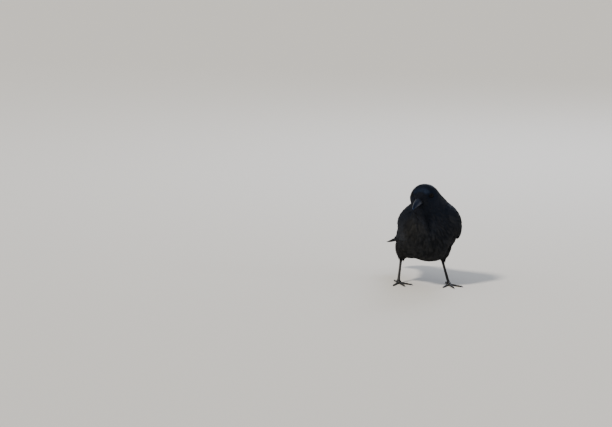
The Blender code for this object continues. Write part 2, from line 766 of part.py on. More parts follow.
def make_tarsus(name, leg):
    """The bare shank from the heel joint down to the sole."""
    heel, _, along = leg_line(leg)
    x, y = leg["foot"]
    shank = np.array([x, y + 2, 6.0]) * MM - heel
    down = unit(shank)
    top = heel - along * (THIGH_STOP + THIGH_OVERLAP)
    points = [top, heel, *(heel + shank * share for share in TARSUS_SHARES)]
    radii = [HEEL_TOP_RADIUS, HEEL_RADIUS, HEEL_RADIUS * 0.92]
    radii += [TARSUS_RADIUS * (1.0 + TARSUS_SWELL * (2 * share - 1) ** 2) for share in TARSUS_SHARES[1:]]
    tarsus = loft(name, tube_rings(points, radii, TARSUS_SIDES))
    front = np.array([0.0, -1.0, 0.0])
    front = unit(front - down * np.dot(front, down))
    spacing = SCUTED_SHARE * np.linalg.norm(shank) / SCUTES
    plates = []
    for i in range(SCUTES):
        centre = heel + shank * SCUTES_FROM + down * spacing * (i + 0.5)
        plates.append(scute(f"scute_{i}", centre, down, front, TARSUS_RADIUS, spacing * 1.04))
    boolean(tarsus, [foot_hub("hub", leg), *plates], "UNION")
    cutters = [thigh_loft("thigh_cut", leg, GAP), body_part("body_cut", 0, BODY_END, 2 * GAP)]
    return boolean(tarsus, cutters, "DIFFERENCE")


def toe_line(leg, key):
    """The toe's middle line, its radii and the direction that it points in."""
    heading, length, root, _, pads = TOES[key]
    x, y = leg["foot"]
    angle = math.radians(heading) * leg["toe_out"]
    ahead = np.array([math.sin(angle), -math.cos(angle), 0.0])
    reach = (length + TOE_EXTRA) * MM
    points, radii = [], []
    for share in np.linspace(0.0, 1.0, pads * RINGS_PER_PAD + 1):
        radius = root * MM * (1 - (1 - TOE_TIP_SHARE) * share)
        distance = from_to((TOE_START, reach), share)
        points.append(np.array([x * MM, y * MM, radius * 0.97]) + ahead * distance)
        radii.append(radius * (1.0 + TOE_PAD_SWELL * math.cos(2 * math.pi * pads * share)))
    return points, radii, ahead


def flatten_under(obj, lowest):
    """What would reach below a level is pressed flat on it."""
    for vert in obj.data.vertices:
        vert.co.z = max(vert.co.z, lowest)


def make_toe(name, leg, key):
    points, radii, _ = toe_line(leg, key)
    toe = loft(name, tube_rings(points, radii, TOE_SIDES))
    flatten_under(toe, 0.0)
    return boolean(toe, [foot_hub("hub_cut", leg, GAP)], "DIFFERENCE")


def make_claw(name, leg, key):
    """A claw that rises a little from the toe's end and curves down to its tip."""
    points, radii, ahead = toe_line(leg, key)
    base = points[-1] + ahead * GAP
    arc_radius = TOES[key][3] * MM / CLAW_BEND
    side = np.cross(ahead, [0.0, 0.0, 1.0])
    rings = []
    for i in range(CLAW_STEPS + 1):
        share = i / CLAW_STEPS
        angle = CLAW_BEND * share
        reach = arc_radius * math.sin(angle)
        rise = reach * math.sin(CLAW_SLOPE) * (1 - share * 0.2) - arc_radius * (1 - math.cos(angle)) * 0.9
        centre = base + ahead * reach + np.array([0, 0, rise])
        heading = angle - CLAW_SLOPE if i else 0.0
        up = np.cross(side, ahead * math.cos(heading) - np.array([0, 0, math.sin(heading)]))
        size = radii[-1] * CLAW_SHARE * (1 - share) ** 0.75
        rings.append([centre + (side * s * 0.8 + up * u) * size for s, u in outline(CLAW_SIDES, 2)])
    claw = loft(name, rings[:-1], tip=centre)
    flatten_under(claw, CLAW_LOWEST)
    return claw


def finish_node(obj, material):
    obj.data.materials.clear()
    obj.data.materials.append(material)
    for polygon in obj.data.polygons:
        polygon.use_smooth = True
    obj.data.set_sharp_from_angle(angle=SMOOTH_ANGLE)


def centre_on_base(objects):
    """Puts the middle of the model's box over the origin, with its feet left at z = 0."""
    corners = np.array([v.co for o in objects for v in o.data.vertices])
    middle = (corners.min(0) + corners.max(0)) / 2
    for obj in objects:
        obj.data.transform(Matrix.Translation((-middle[0], -middle[1], 0.0)))


def make_leg(word, leg, sign):
    """The nodes of one leg, by the name of their surface."""
    horny = [make_tarsus(f"tarsus_{word}", leg)]
    horny += [make_toe(f"toe_{word}_{key}", leg, key) for key in TOES]
    claws = [make_claw(f"claw_{word}_{key}", leg, key) for key in TOES]
    return [make_thigh(f"thigh_{word}", leg, sign)], horny, claws


def main():
    clear_scene()
    feathered = [
        make_head(),
        body_part("neck", HEAD_END, NECK_END),
        body_part("torso", NECK_END, BODY_END),
        make_tail(),
    ]
    horn = [
        make_bill("bill_upper", UPPER_BILL, 1, BILL_LENGTH, BILL_TIP_HEIGHT),
        make_bill("bill_lower", LOWER_BILL, -1, LOWER_BILL_LENGTH, LOWER_BILL_TIP_HEIGHT),
    ]
    eyes, scaled = [], []
    for word, sign in (("left", 1), ("right", -1)):
        eyes.append(ball(f"eye_{word}", eye_centre(sign), EYE_RADIUS))
        feathered.append(make_wing(f"wing_{word}", sign))
        thigh, horny, claws = make_leg(word, LEGS[word], sign)
        feathered += thigh
        scaled += horny
        horn += claws
    group = bpy.data.collections.new("carrion_crow")
    bpy.context.scene.collection.children.link(group)
    for nodes, surface in (
        (feathered, BLACK_PLUMAGE),
        (horn, BLACK_HORN),
        (scaled, BLACK_LEG_SCALES),
        (eyes, DARK_BROWN_EYE),
    ):
        for obj in nodes:
            finish_node(obj, make_material(f"{obj.name}_surface", *surface))
            bpy.context.scene.collection.objects.unlink(obj)
            group.objects.link(obj)
    centre_on_base(feathered + horn + scaled + eyes)


main()
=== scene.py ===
import math

import bmesh
import bpy
import numpy as np
from mathutils import Matrix, Vector
from mathutils.bvhtree import BVHTree


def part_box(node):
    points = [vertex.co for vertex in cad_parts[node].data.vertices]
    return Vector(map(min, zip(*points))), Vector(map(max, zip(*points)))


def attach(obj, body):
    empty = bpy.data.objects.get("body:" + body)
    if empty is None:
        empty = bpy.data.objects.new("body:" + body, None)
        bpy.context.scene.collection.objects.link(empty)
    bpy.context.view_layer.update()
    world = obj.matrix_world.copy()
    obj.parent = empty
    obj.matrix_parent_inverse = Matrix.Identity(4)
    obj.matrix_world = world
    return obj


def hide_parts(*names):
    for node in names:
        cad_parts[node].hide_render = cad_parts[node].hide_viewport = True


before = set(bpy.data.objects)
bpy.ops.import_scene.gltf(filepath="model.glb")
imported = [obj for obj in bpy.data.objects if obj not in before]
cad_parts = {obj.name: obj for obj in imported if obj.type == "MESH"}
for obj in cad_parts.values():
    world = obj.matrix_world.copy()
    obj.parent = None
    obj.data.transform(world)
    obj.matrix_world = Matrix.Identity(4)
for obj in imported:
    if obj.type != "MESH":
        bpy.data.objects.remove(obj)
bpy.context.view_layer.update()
MM = 0.001

# The form that the plumage lies to, from the face to the first third of the tail. Under it a
# crow has skin over muscle; the feathers grow in rows round it and point back from the bill.
# Each row: the back's y and z, the underside's y and z, half the width, the share of the turn.
BODY_SLICES = np.array(
    [
        (-92.9, 210.1, -88.5, 190.7, 10.5, 1.0),
        (-86.5, 219.9, -83.8, 184.7, 16.8, 1.0),
        (-77.5, 228.4, -78.6, 179.0, 24.3, 1.0),
        (-63.0, 232.6, -73.8, 169.5, 29.6, 1.0),
        (-48.0, 228.3, -71.5, 157.0, 31.0, 0.86),
        (-32.0, 216.0, -75.5, 140.0, 33.0, 0.56),
        (-14.0, 203.0, -80.0, 117.0, 44.5, 0.22),
        (10.0, 189.0, -72.0, 89.0, 54.0, 0.03),
        (40.0, 170.0, -48.0, 64.0, 57.0, 0.0),
        (70.0, 151.5, -8.0, 54.5, 55.0, 0.0),
        (95.0, 135.0, 38.0, 57.0, 46.0, 0.0),
        (115.0, 121.0, 84.0, 74.0, 33.0, 0.0),
        (132.0, 108.0, 126.0, 94.0, 20.0, 0.0),
        (161.0, 96.0, 157.0, 84.0, 19.0, 0.0),
        (192.0, 84.5, 188.0, 76.0, 19.0, 0.0),
    ]
)
BODY_SQUARENESS = 2.1
HEAD_TURN, HEAD_PITCH = math.radians(33), math.radians(13)
HEAD_SHIFT, TURN_PIVOT_Y = -4.0, -25.0
FACE_CENTRE = np.array([0.0, -90.7, 200.4])
EYE_BACK, EYE_UP, EYE_OUT = 15.0, 6.5, 20.1


def unit(vectors):
    return vectors / np.maximum(np.linalg.norm(vectors, axis=-1, keepdims=True), 1e-12)


def along_rows(rows, at):
    """The rows at fractional indices, on a smooth curve through all of them."""
    last = len(rows) - 1
    at = np.clip(at, 0, last)
    i = np.minimum(at.astype(int), last - 1)
    t = (at - i)[..., None]
    wide = np.vstack([2 * rows[0] - rows[1], rows, 2 * rows[-1] - rows[-2]])
    p0, p1, p2, p3 = wide[i], wide[i + 1], wide[i + 2], wide[i + 3]
    square = (2 * p0 - 5 * p1 + 4 * p2 - p3) * t**2
    cube = (3 * p1 - p0 - 3 * p2 + p3) * t**3
    return 0.5 * (2 * p1 + (p2 - p0) * t + square + cube)


def turn_head(points, share):
    """Carries points round with the head's turn to the bird's right."""
    angle = -HEAD_TURN * share
    x, y = points[..., 0], points[..., 1] - TURN_PIVOT_Y
    turned = np.array(points, float)
    turned[..., 0] = x * np.cos(angle) - y * np.sin(angle) + HEAD_SHIFT * share
    turned[..., 1] = x * np.sin(angle) + y * np.cos(angle) + TURN_PIVOT_Y
    return turned


def body_form(at, around):
    """Points on the form, in millimetres: around runs from the back, 0, round to the back, 1."""
    back_y, back_z, under_y, under_z, half, share = np.moveaxis(along_rows(BODY_SLICES, at), -1, 0)
    up = np.stack([np.zeros_like(back_y), back_y - under_y, back_z - under_z], -1)
    middle = np.stack([np.zeros_like(back_y), back_y + under_y, back_z + under_z], -1) / 2
    power = 2 / BODY_SQUARENESS
    sine, cosine = np.sin(2 * np.pi * around), np.cos(2 * np.pi * around)
    points = middle + up / 2 * (np.sign(cosine) * np.abs(cosine) ** power)[..., None]
    points[..., 0] += half * np.sign(sine) * np.abs(sine) ** power
    return turn_head(points, share)


FORWARD, UPWARD, SIDEWAYS = (
    turn_head(FACE_CENTRE + v, 1.0) - turn_head(FACE_CENTRE, 1.0)
    for v in (
        np.array([0, -math.cos(HEAD_PITCH), -math.sin(HEAD_PITCH)]),
        np.array([0, -math.sin(HEAD_PITCH), math.cos(HEAD_PITCH)]),
        np.array([1.0, 0, 0]),
    )
)
FACE = turn_head(FACE_CENTRE, 1.0)
EYES = {s: FACE - FORWARD * EYE_BACK + UPWARD * EYE_UP + SIDEWAYS * s * EYE_OUT for s in (1, -1)}

# The solid bird stands with the middle of its box over the origin; the left eye shows how far
# that moves every measure taken here.
eye_low, eye_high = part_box("eye_left")
SHIFT = (np.array(eye_low) + np.array(eye_high)) / 2 / MM - EYES[1]
SHIFT[2] = 0.0

FORM_ROWS, FORM_COLUMNS = 281, 241
LAST_SLICE = len(BODY_SLICES) - 1
along_form, around_form = np.meshgrid(
    np.linspace(0, LAST_SLICE, FORM_ROWS), np.linspace(0, 1, FORM_COLUMNS), indexing="ij"
)
body_grid = body_form(along_form, around_form)


def outward_normals(grid, closed, facing):
    """Unit normals of a grid of points, on the side that facing points to on the whole; closed
    joins its last column to its first."""
    down = np.gradient(grid, axis=0)
    if closed:
        wide = np.concatenate([grid[:, -2:-1], grid, grid[:, 1:2]], 1)
        across = np.gradient(wide, axis=1)[:, 1:-1]
    else:
        across = np.gradient(grid, axis=1)
    normals = unit(np.cross(across, down))
    return -normals if np.sum(normals * facing) < 0 else normals


def swelled(grid, normals, swells):
    """The grid raised along its normals by soft swells: each a middle, a reach and a height."""
    for middle, reach, height in swells:
        distance = np.linalg.norm(grid - np.array(middle), axis=-1)
        grid = grid + normals * (height * np.exp(-((distance / reach) ** 2)))[..., None]
    return grid


# The live head isn't smooth: a ridge over each eye, a hollow before it, a full cheek behind the
# gape, a low ridge over the bill, and a loose crown and nape. Each swell of the face: how far
# behind, above and beside its middle, the reach and the height.
FACE_SWELLS = (
    (9.0, 12.0, 17.5, 6.0, 1.5),
    (16.0, 14.0, 18.0, 7.0, 1.2),
    (6.5, 3.0, 14.5, 5.0, -1.4),
    (24.0, -3.0, 22.0, 11.0, 1.3),
    (1.0, 11.0, 2.0, 7.0, 1.3),
)
CROWN_SWELL, NAPE_SWELL = ((-9.0, -67.5, 225.0), 12.0, 1.6), ((-53.5, -51.5, 203.0), 13.0, 1.4)
head_swells = [
    (FACE - FORWARD * back + UPWARD * rise + SIDEWAYS * s * out, reach, height)
    for s in (1, -1)
    for back, rise, out, reach, height in FACE_SWELLS
]
body_normals = outward_normals(body_grid, True, body_grid - body_grid.mean(1, keepdims=True))
body_grid = swelled(body_grid, body_normals, [*head_swells, CROWN_SWELL, NAPE_SWELL])

# The turned head folds the right of the throat; the plumage bridges that fold in a soft hollow.
FOLD_PLACE, FOLD_REACH = np.array([-34.0, -60.0, 158.0]), 30.0
FOLD_ROUNDS, FOLD_EASE = 300, 0.5
folded = np.exp(-((np.linalg.norm(body_grid - FOLD_PLACE, axis=-1) / FOLD_REACH) ** 2))[..., None]
for _ in range(FOLD_ROUNDS):
    wide = np.concatenate([body_grid[:, -2:-1], body_grid, body_grid[:, 1:2]], 1)
    long = np.concatenate([body_grid[:1], body_grid, body_grid[-1:]])
    even = (wide[:, :-2] + wide[:, 2:] + long[:-2] + long[2:]) / 4
    body_grid = body_grid + folded * FOLD_EASE * (even - body_grid)
body_grid = body_grid + body_normals * folded
body_normals = outward_normals(body_grid, True, body_grid - body_grid.mean(1, keepdims=True))


def read_grid(grid, u, v):
    """A grid's value at shares u down it and v across it."""
    rows, columns = grid.shape[:2]
    a, b = np.clip(u, 0, 1) * (rows - 1), np.clip(v, 0, 1) * (columns - 1)
    i, j = np.minimum(a.astype(int), rows - 2), np.minimum(b.astype(int), columns - 2)
    fa, fb = (a - i)[..., None], (b - j)[..., None]
    near = grid[i, j] * (1 - fa) + grid[i + 1, j] * fa
    far = grid[i, j + 1] * (1 - fa) + grid[i + 1, j + 1] * fa
    return near * (1 - fb) + far * fb


# The folded wing's form, which its feathers lie to: closed against the flank, with its bend
# forward under the breast feathers and its tips over the tail. Each row: y, the lower edge's x
# and z, the upper edge's x and z, and how far the outer face bulges.
WING_SLICES = np.array(
    [
        (-62.0, 47.0, 136.0, 44.0, 151.0, 3.0),
        (-56.0, 54.0, 124.0, 44.0, 165.0, 7.0),
        (-40.0, 58.5, 112.0, 40.5, 178.0, 12.5),
        (0.0, 60.5, 104.0, 29.5, 186.0, 16.5),
        (40.0, 60.5, 98.0, 18.5, 171.5, 16.0),
        (80.0, 55.0, 92.0, 11.0, 151.0, 13.5),
        (120.0, 47.0, 87.0, 8.5, 127.0, 9.5),
        (160.0, 40.0, 84.5, 10.0, 108.5, 6.5),
        (200.0, 34.5, 82.0, 17.0, 96.5, 3.5),
        (234.0, 30.0, 77.0, 25.0, 83.0, 0.8),
    ]
)
WING_FRONT, WING_BACK = -62.0, 234.0
WING_LOW, WING_HIGH = -0.12, 1.12
# The right wing stands up at the shoulder and draws in below it and at its tips; the left one
# tucks its bend in under the breast.
WING_SWELLS = {
    1: (((58.0, -55.0, 135.0), 22.0, -2.6), ((57.0, -52.0, 118.0), 13.0, -2.6)),
    -1: (
        ((-62.0, -4.0, 148.0), 26.0, 5.4),
        ((-64.0, 24.0, 115.0), 15.0, -4.0),
        ((-27.0, 207.0, 86.0), 26.0, -4.5),
    ),
}
wing_steps = np.linspace(0, len(WING_SLICES) - 1, 400)
wing_table = along_rows(WING_SLICES, wing_steps)


def lower_edge(y):
    """How high the folded wing's lower edge lies at y."""
    return np.interp(y, WING_SLICES[:, 0], WING_SLICES[:, 2])


def wing_form(y, across, sign, depth=0.0):
    """Points on the folded wing's outer face: across runs from its lower edge, 0, to its upper
    edge, 1; depth goes into the wing."""
    row = along_rows(WING_SLICES, np.interp(y, wing_table[:, 0], wing_steps))
    low, high, bulge = row[..., 1:3], row[..., 3:5], row[..., 5]
    chord = high - low
    width = np.linalg.norm(chord, axis=-1)
    normal = np.stack([chord[..., 1], -chord[..., 0]], -1) / width[..., None]
    slope = 4 * (1 - 2 * across) * bulge / width
    outward = unit(normal - chord / width[..., None] * slope[..., None])
    swell = 4 * across * (1 - across) * bulge
    place = low + chord * across[..., None] + normal * swell[..., None]
    place = place - outward * np.asarray(depth)[..., None]
    return np.stack([sign * place[..., 0], y, place[..., 1]], -1)


def wing_shares(y, across):
    """Places on the wing as shares of its grid."""
    along = (y - WING_FRONT) / (WING_BACK - WING_FRONT)
    return along, (across - WING_LOW) / (WING_HIGH - WING_LOW)


wing_y, wing_across = np.meshgrid(
    np.linspace(WING_FRONT, WING_BACK, 200), np.linspace(WING_LOW, WING_HIGH, 80), indexing="ij"
)
wing_grids, wing_normals = {}, {}
for s, swells in WING_SWELLS.items():
    side = np.array([s, 0, 0])
    flat = wing_form(wing_y, wing_across, s)
    wing_grids[s] = swelled(flat, outward_normals(flat, False, side), swells)
    wing_normals[s] = outward_normals(wing_grids[s], False, side)

# The thigh and shin stay inside the plumage down to the heel joint, in feathers like short
# trousers. The foot's, the heel's and the knee's places set each leg.
LEGS = {
    "left": {"foot": (42, -10), "heel": (31, 12, 60), "knee": (34, -18, 102), "out": 1},
    "right": {"foot": (-58, 42), "heel": (-48, 58, 60), "knee": (-44, 16, 102), "out": -1},
}
THIGH_RADIUS = 19.5
THIGH_SHARES = (0.0, 0.15, 0.35, 0.55, 0.75, 0.9, 1.0)
THIGH_SIZES = (0.62, 0.95, 1.06, 0.98, 0.78, 0.56, 0.4)
THIGH_END_GAP, THIGH_FRONT_DEPTH = 2.0, 1.15


def thigh_form(leg, share, around, out=1.0):
    """Points on one thigh: share runs from the knee, 0, to just above the heel joint, 1, and
    out from its middle line, 0, to its face, 1."""
    heel, knee = np.array(leg["heel"], float), np.array(leg["knee"], float)
    along = unit(heel - knee)
    end = heel - along * THIGH_END_GAP
    side = unit(np.array([1.0, 0, 0]) - along * along[0])
    front = np.cross(along, side) * THIGH_FRONT_DEPTH
    size = np.interp(share, THIGH_SHARES, THIGH_SIZES) * THIGH_RADIUS
    turn = 2 * np.pi * around
    spoke = side * np.sin(turn)[..., None] + front * np.cos(turn)[..., None]
    return knee + (end - knee) * share[..., None] + spoke * size[..., None] * out


thigh_share, thigh_around = np.meshgrid(
    np.linspace(0, 1, 30), np.linspace(0, 1, 41), indexing="ij"
)
thigh_grids, thigh_normals = {}, {}
for word, leg in LEGS.items():
    grid = thigh_grids[word] = thigh_form(leg, thigh_share, thigh_around)
    thigh_normals[word] = outward_normals(grid, True, grid - grid.mean((0, 1)))

# Where a wing or a thigh lies over the body, the body's feathers climb on to it: cover is how
# far out they go, in millimetres, smoothed so that they climb gradually.
COVER_REACH, OVER_THE_FACE, OVER_THE_COVERTS = 42.0, 1.5, 3.2
COVER_MOST, COVER_FALL, COVER_ROUNDS, COVER_BLURS = 16.0, 0.8, 26, 6
NECK_ROW = 90


def grid_tree(grids):
    """A search tree over the faces of a few grids."""
    points, faces = [], []
    for grid in grids:
        base, (rows, columns) = len(points), grid.shape[:2]
        points += [Vector(p) for p in grid.reshape(-1, 3)]
        for i in range(rows - 1):
            for j in range(columns - 1):
                a = base + i * columns + j
                faces.append((a, a + 1, a + columns + 1, a + columns))
    return BVHTree.FromPolygons(points, faces)


def raised_over_body(tree, last_row):
    """How far over the form the tree's faces lie, from the neck back."""
    raised = np.zeros(body_grid.shape[:2])
    for i in range(NECK_ROW, last_row, 2):
        for j in range(0, FORM_COLUMNS, 2):
            start = Vector(body_grid[i, j] + body_normals[i, j] * COVER_REACH)
            place, _, _, gap = tree.ray_cast(start, -Vector(body_normals[i, j]), COVER_REACH)
            if place is not None:
                raised[i : i + 2, j : j + 2] = COVER_REACH - gap
    return raised


def run_out(raised, fall, rounds, blurs):
    """Lets raised places run out sideways over the form, and evens them."""
    for _ in range(rounds):
        long = np.pad(raised, ((1, 1), (0, 0)), "edge")
        wide = np.pad(raised[:, :-1], ((0, 0), (1, 2)), "wrap")
        beside = np.maximum(wide[:, :FORM_COLUMNS], wide[:, 2 : FORM_COLUMNS + 2])
        beside = np.maximum(np.maximum(long[2:], long[:-2]), beside)
        raised = np.maximum(raised, beside - fall)
    for _ in range(blurs):
        long = np.pad(raised, ((2, 2), (0, 0)), "edge")
        raised = sum(long[k : k + FORM_ROWS] for k in range(5)) / 5
        wide = np.pad(raised[:, :-1], ((0, 0), (2, 3)), "wrap")
        raised = sum(wide[:, k : k + FORM_COLUMNS] for k in range(5)) / 5
    return raised


over_body = grid_tree(
    [(wing_grids[s] + OVER_THE_FACE * wing_normals[s])[::3, ::4] for s in (1, -1)]
    + [g[::2, ::2] for g in thigh_grids.values()]
)
cover = raised_over_body(over_body, FORM_ROWS)
cover_soft = run_out(np.minimum(cover, COVER_MOST), COVER_FALL, COVER_ROUNDS, COVER_BLURS)

# Under the front of the left wing the belly draws in at once, so that the wing's edge stands out,
# and the flank runs aslant down to the left leg.
DRAWN_IN = (
    ((56.0, -48.0, 107.0), 20.0, 11.0),
    ((43.0, -42.0, 84.0), 20.0, 9.0),
    ((50.0, -20.0, 75.0), 18.0, 10.0),
)
DRAWN_BELOW_EDGE = (-6.0, 2.0)


def drawn_in(points, normals):
    """The points drawn in at those places, but only below the wing's lower edge."""
    depth = sum(
        most * np.exp(-((np.linalg.norm(points - np.array(middle), axis=-1) / reach) ** 2))
        for middle, reach, most in DRAWN_IN
    )
    above_edge = points[..., 2] - lower_edge(points[..., 1])
    return points - normals * (depth * np.interp(above_edge, DRAWN_BELOW_EDGE, (1.0, 0.0)))[..., None]


def surface_over_body(raised):
    """The form raised by so many millimetres and drawn in, with its normals."""
    grid = drawn_in(body_grid + body_normals * raised[..., None], body_normals)
    normals = outward_normals(grid, True, body_normals)
    return grid, normals * np.sign(np.sum(normals * body_normals, -1, keepdims=True))


outer_surface = surface_over_body(cover_soft)

# Skin: one thin dark hide over the whole body, head, thighs and wing arms, inside the plumage by
# the coat's depth. It is plucked skin set with black down, so it is dull and soft.
SKIN_VOXEL, SKIN_SOFTNESS, SKIN_ROUNDS = 2.2 * MM, 0.5, 6
SKIN_DEPTH_AT, SKIN_DEPTHS = (10, 30, 60, 130), (1.4, 2.2, 3.2, 5.0)
ARM_ROWS, ARM_COLUMNS, ARM_FRONT, ARM_BACK = 30, 14, -60, 100
ARM_NEAR, ARM_DEEP = 3.0, 12.0


def linear(hex_colour):
    """An sRGB hex value as linear red, green, blue and alpha."""
    parts = [int(hex_colour[i : i + 2], 16) / 255 for i in (1, 3, 5)]
    return (*(c / 12.92 if c <= 0.04045 else ((c + 0.055) / 1.055) ** 2.4 for c in parts), 1.0)


def fill(tree, node, inputs):
    """Fills a node's inputs with values or with links."""
    for key, value in inputs.items():
        if isinstance(value, bpy.types.NodeSocket):
            tree.links.new(value, node.inputs[key])
        else:
            node.inputs[key].default_value = value


def add_node(tree, kind, settings=None, inputs=None):
    """Adds a node with its settings and links."""
    node = tree.nodes.new(kind)
    for key, value in (settings or {}).items():
        setattr(node, key, value)
    fill(tree, node, inputs or {})
    return node


def new_material(name):
    """A new material, with its node tree and its shader."""
    material = bpy.data.materials.new(name)
    material.use_nodes = True
    return material, material.node_tree, material.node_tree.nodes["Principled BSDF"]


# Black down on skin: matt, with clumps about 2 mm across that show only as a soft unevenness.
COLOURS = {"data_type": "RGBA", "clamp_factor": True}
down, tree, shader = new_material("black_down_on_skin")
place = add_node(tree, "ShaderNodeTexCoord").outputs["Object"]
noise = add_node(tree, "ShaderNodeTexNoise", None, {"Vector": place, "Scale": 1 / (2 * MM), "Detail": 3.0})
clumps = noise.outputs["Fac"]
ends = {6: linear("#0b0b0d"), 7: linear("#17171a")}
tone = add_node(tree, "ShaderNodeMix", COLOURS, {"Factor": clumps, **ends}).outputs[2]
bump = add_node(tree, "ShaderNodeBump", None, {"Height": clumps, "Strength": 0.6, "Distance": 0.5 * MM})
fill(tree, shader, {"Base Color": tone, "Normal": bump.outputs["Normal"]})
fill(tree, shader, {"Roughness": 0.8, "Specular IOR Level": 0.3})

flesh = []
for node in ("head", "neck", "torso", "thigh_left", "thigh_right"):
    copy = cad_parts[node].copy()
    copy.data = copy.data.copy()
    copy.matrix_world = Matrix.Identity(4)
    for key in list(copy.keys()):
        del copy[key]
    bpy.context.scene.collection.objects.link(copy)
    flesh.append(copy)


def grid_object(name, grid, caps=True):
    """A closed tube or shell from a grid of points in millimetres, in the solid bird's place."""
    rows, columns = grid.shape[:2]
    bm = bmesh.new()
    verts = [[bm.verts.new(Vector((p + SHIFT) * MM)) for p in row] for row in grid]
    for i in range(rows - 1):
        for j in range(columns):
            k = (j + 1) % columns
            bm.faces.new((verts[i][j], verts[i][k], verts[i + 1][k], verts[i + 1][j]))
    if caps:
        bm.faces.new(verts[0][::-1])
        bm.faces.new(verts[-1])
    bmesh.ops.recalc_face_normals(bm, faces=bm.faces)
    mesh = bpy.data.meshes.new(name)
    bm.to_mesh(mesh)
    bm.free()
    made = bpy.data.objects.new(name, mesh)
    bpy.context.scene.collection.objects.link(made)
    return made


def one_hide(pieces, name, voxel, softness, rounds):
    """Closed pieces joined, remeshed and softened into one hide."""
    bpy.ops.object.select_all(action="DESELECT")
    for piece in pieces:
        piece.hide_set(False)
        piece.hide_render = False
        piece.select_set(True)
    bpy.context.view_layer.objects.active = pieces[0]
    bpy.ops.object.join()
    hide = bpy.context.view_layer.objects.active
    hide.name = name
    hide.data.name = hide.name
    hide.parent = None
    hide.matrix_world = Matrix.Identity(4)
    remesh = hide.modifiers.new("one_hide", "REMESH")
    remesh.mode = "VOXEL"
    remesh.voxel_size = voxel
    bpy.ops.object.modifier_apply(modifier=remesh.name)
    soften = hide.modifiers.new("soften", "SMOOTH")
    soften.factor, soften.iterations = softness, rounds
    bpy.ops.object.modifier_apply(modifier=soften.name)
    return hide


arm_y = np.linspace(ARM_FRONT, ARM_BACK, ARM_ROWS)
arm_loop = [(share, ARM_NEAR) for share in np.linspace(0.02, 0.98, ARM_COLUMNS)]
arm_loop += [(share, ARM_DEEP) for share in np.linspace(0.98, 0.02, ARM_COLUMNS)]
for s in (1, -1):
    lines = [wing_form(arm_y, np.full(ARM_ROWS, a), s, np.full(ARM_ROWS, d)) for a, d in arm_loop]
    flesh.append(grid_object("wing_arm", np.stack(lines, 1)))
skin = one_hide(flesh, "skin_under_plumage", SKIN_VOXEL, SKIN_SOFTNESS, SKIN_ROUNDS)
count = len(skin.data.vertices)
points, normals = np.empty(count * 3), np.empty(count * 3)
skin.data.vertices.foreach_get("co", points)
skin.data.vertices.foreach_get("normal", normals)
points, normals = points.reshape(-1, 3), normals.reshape(-1, 3)
from_face = np.linalg.norm(points / MM - FACE - SHIFT, axis=1)
points -= normals * (np.interp(from_face, SKIN_DEPTH_AT, SKIN_DEPTHS) * MM)[:, None]
points = (drawn_in(points / MM - SHIFT, normals) + SHIFT) * MM
skin.data.vertices.foreach_set("co", points.ravel())
bm = bmesh.new()
bm.from_mesh(skin.data)
# Only the largest of the loose parts is the hide; the crumbs inside it go.
left, islands = set(bm.verts), []
while left:
    reached, front = set(), [left.pop()]
    while front:
        vert = front.pop()
        reached.add(vert)
        for edge in vert.link_edges:
            other = edge.other_vert(vert)
            if other in left:
                left.discard(other)
                front.append(other)
    islands.append(reached)
crumbs = set().union(*sorted(islands, key=len)[:-1])
bmesh.ops.delete(bm, geom=list(crumbs), context="VERTS")
bm.to_mesh(skin.data)
bm.free()
skin.data.materials.clear()
skin.data.materials.append(down)
skin.data.shade_smooth()
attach(skin, "root")
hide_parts("head", "neck", "torso", "thigh_left", "thigh_right")

# Contour feathers: the small outer feathers of head, neck and body, about 5 mm long at the face
# and 35 mm on the rump. Each is a thin horny vane on a fine shaft, full and round on the back,
# loose at the edge on the breast and belly; each lies over the roots of the next.
VANE_SKINS = {"contour": 0.12, "flight": 0.35}
VANE_SHARP, BAKE_PATCH, SHAFT_WIDTH = math.radians(75), 0.003, 0.06


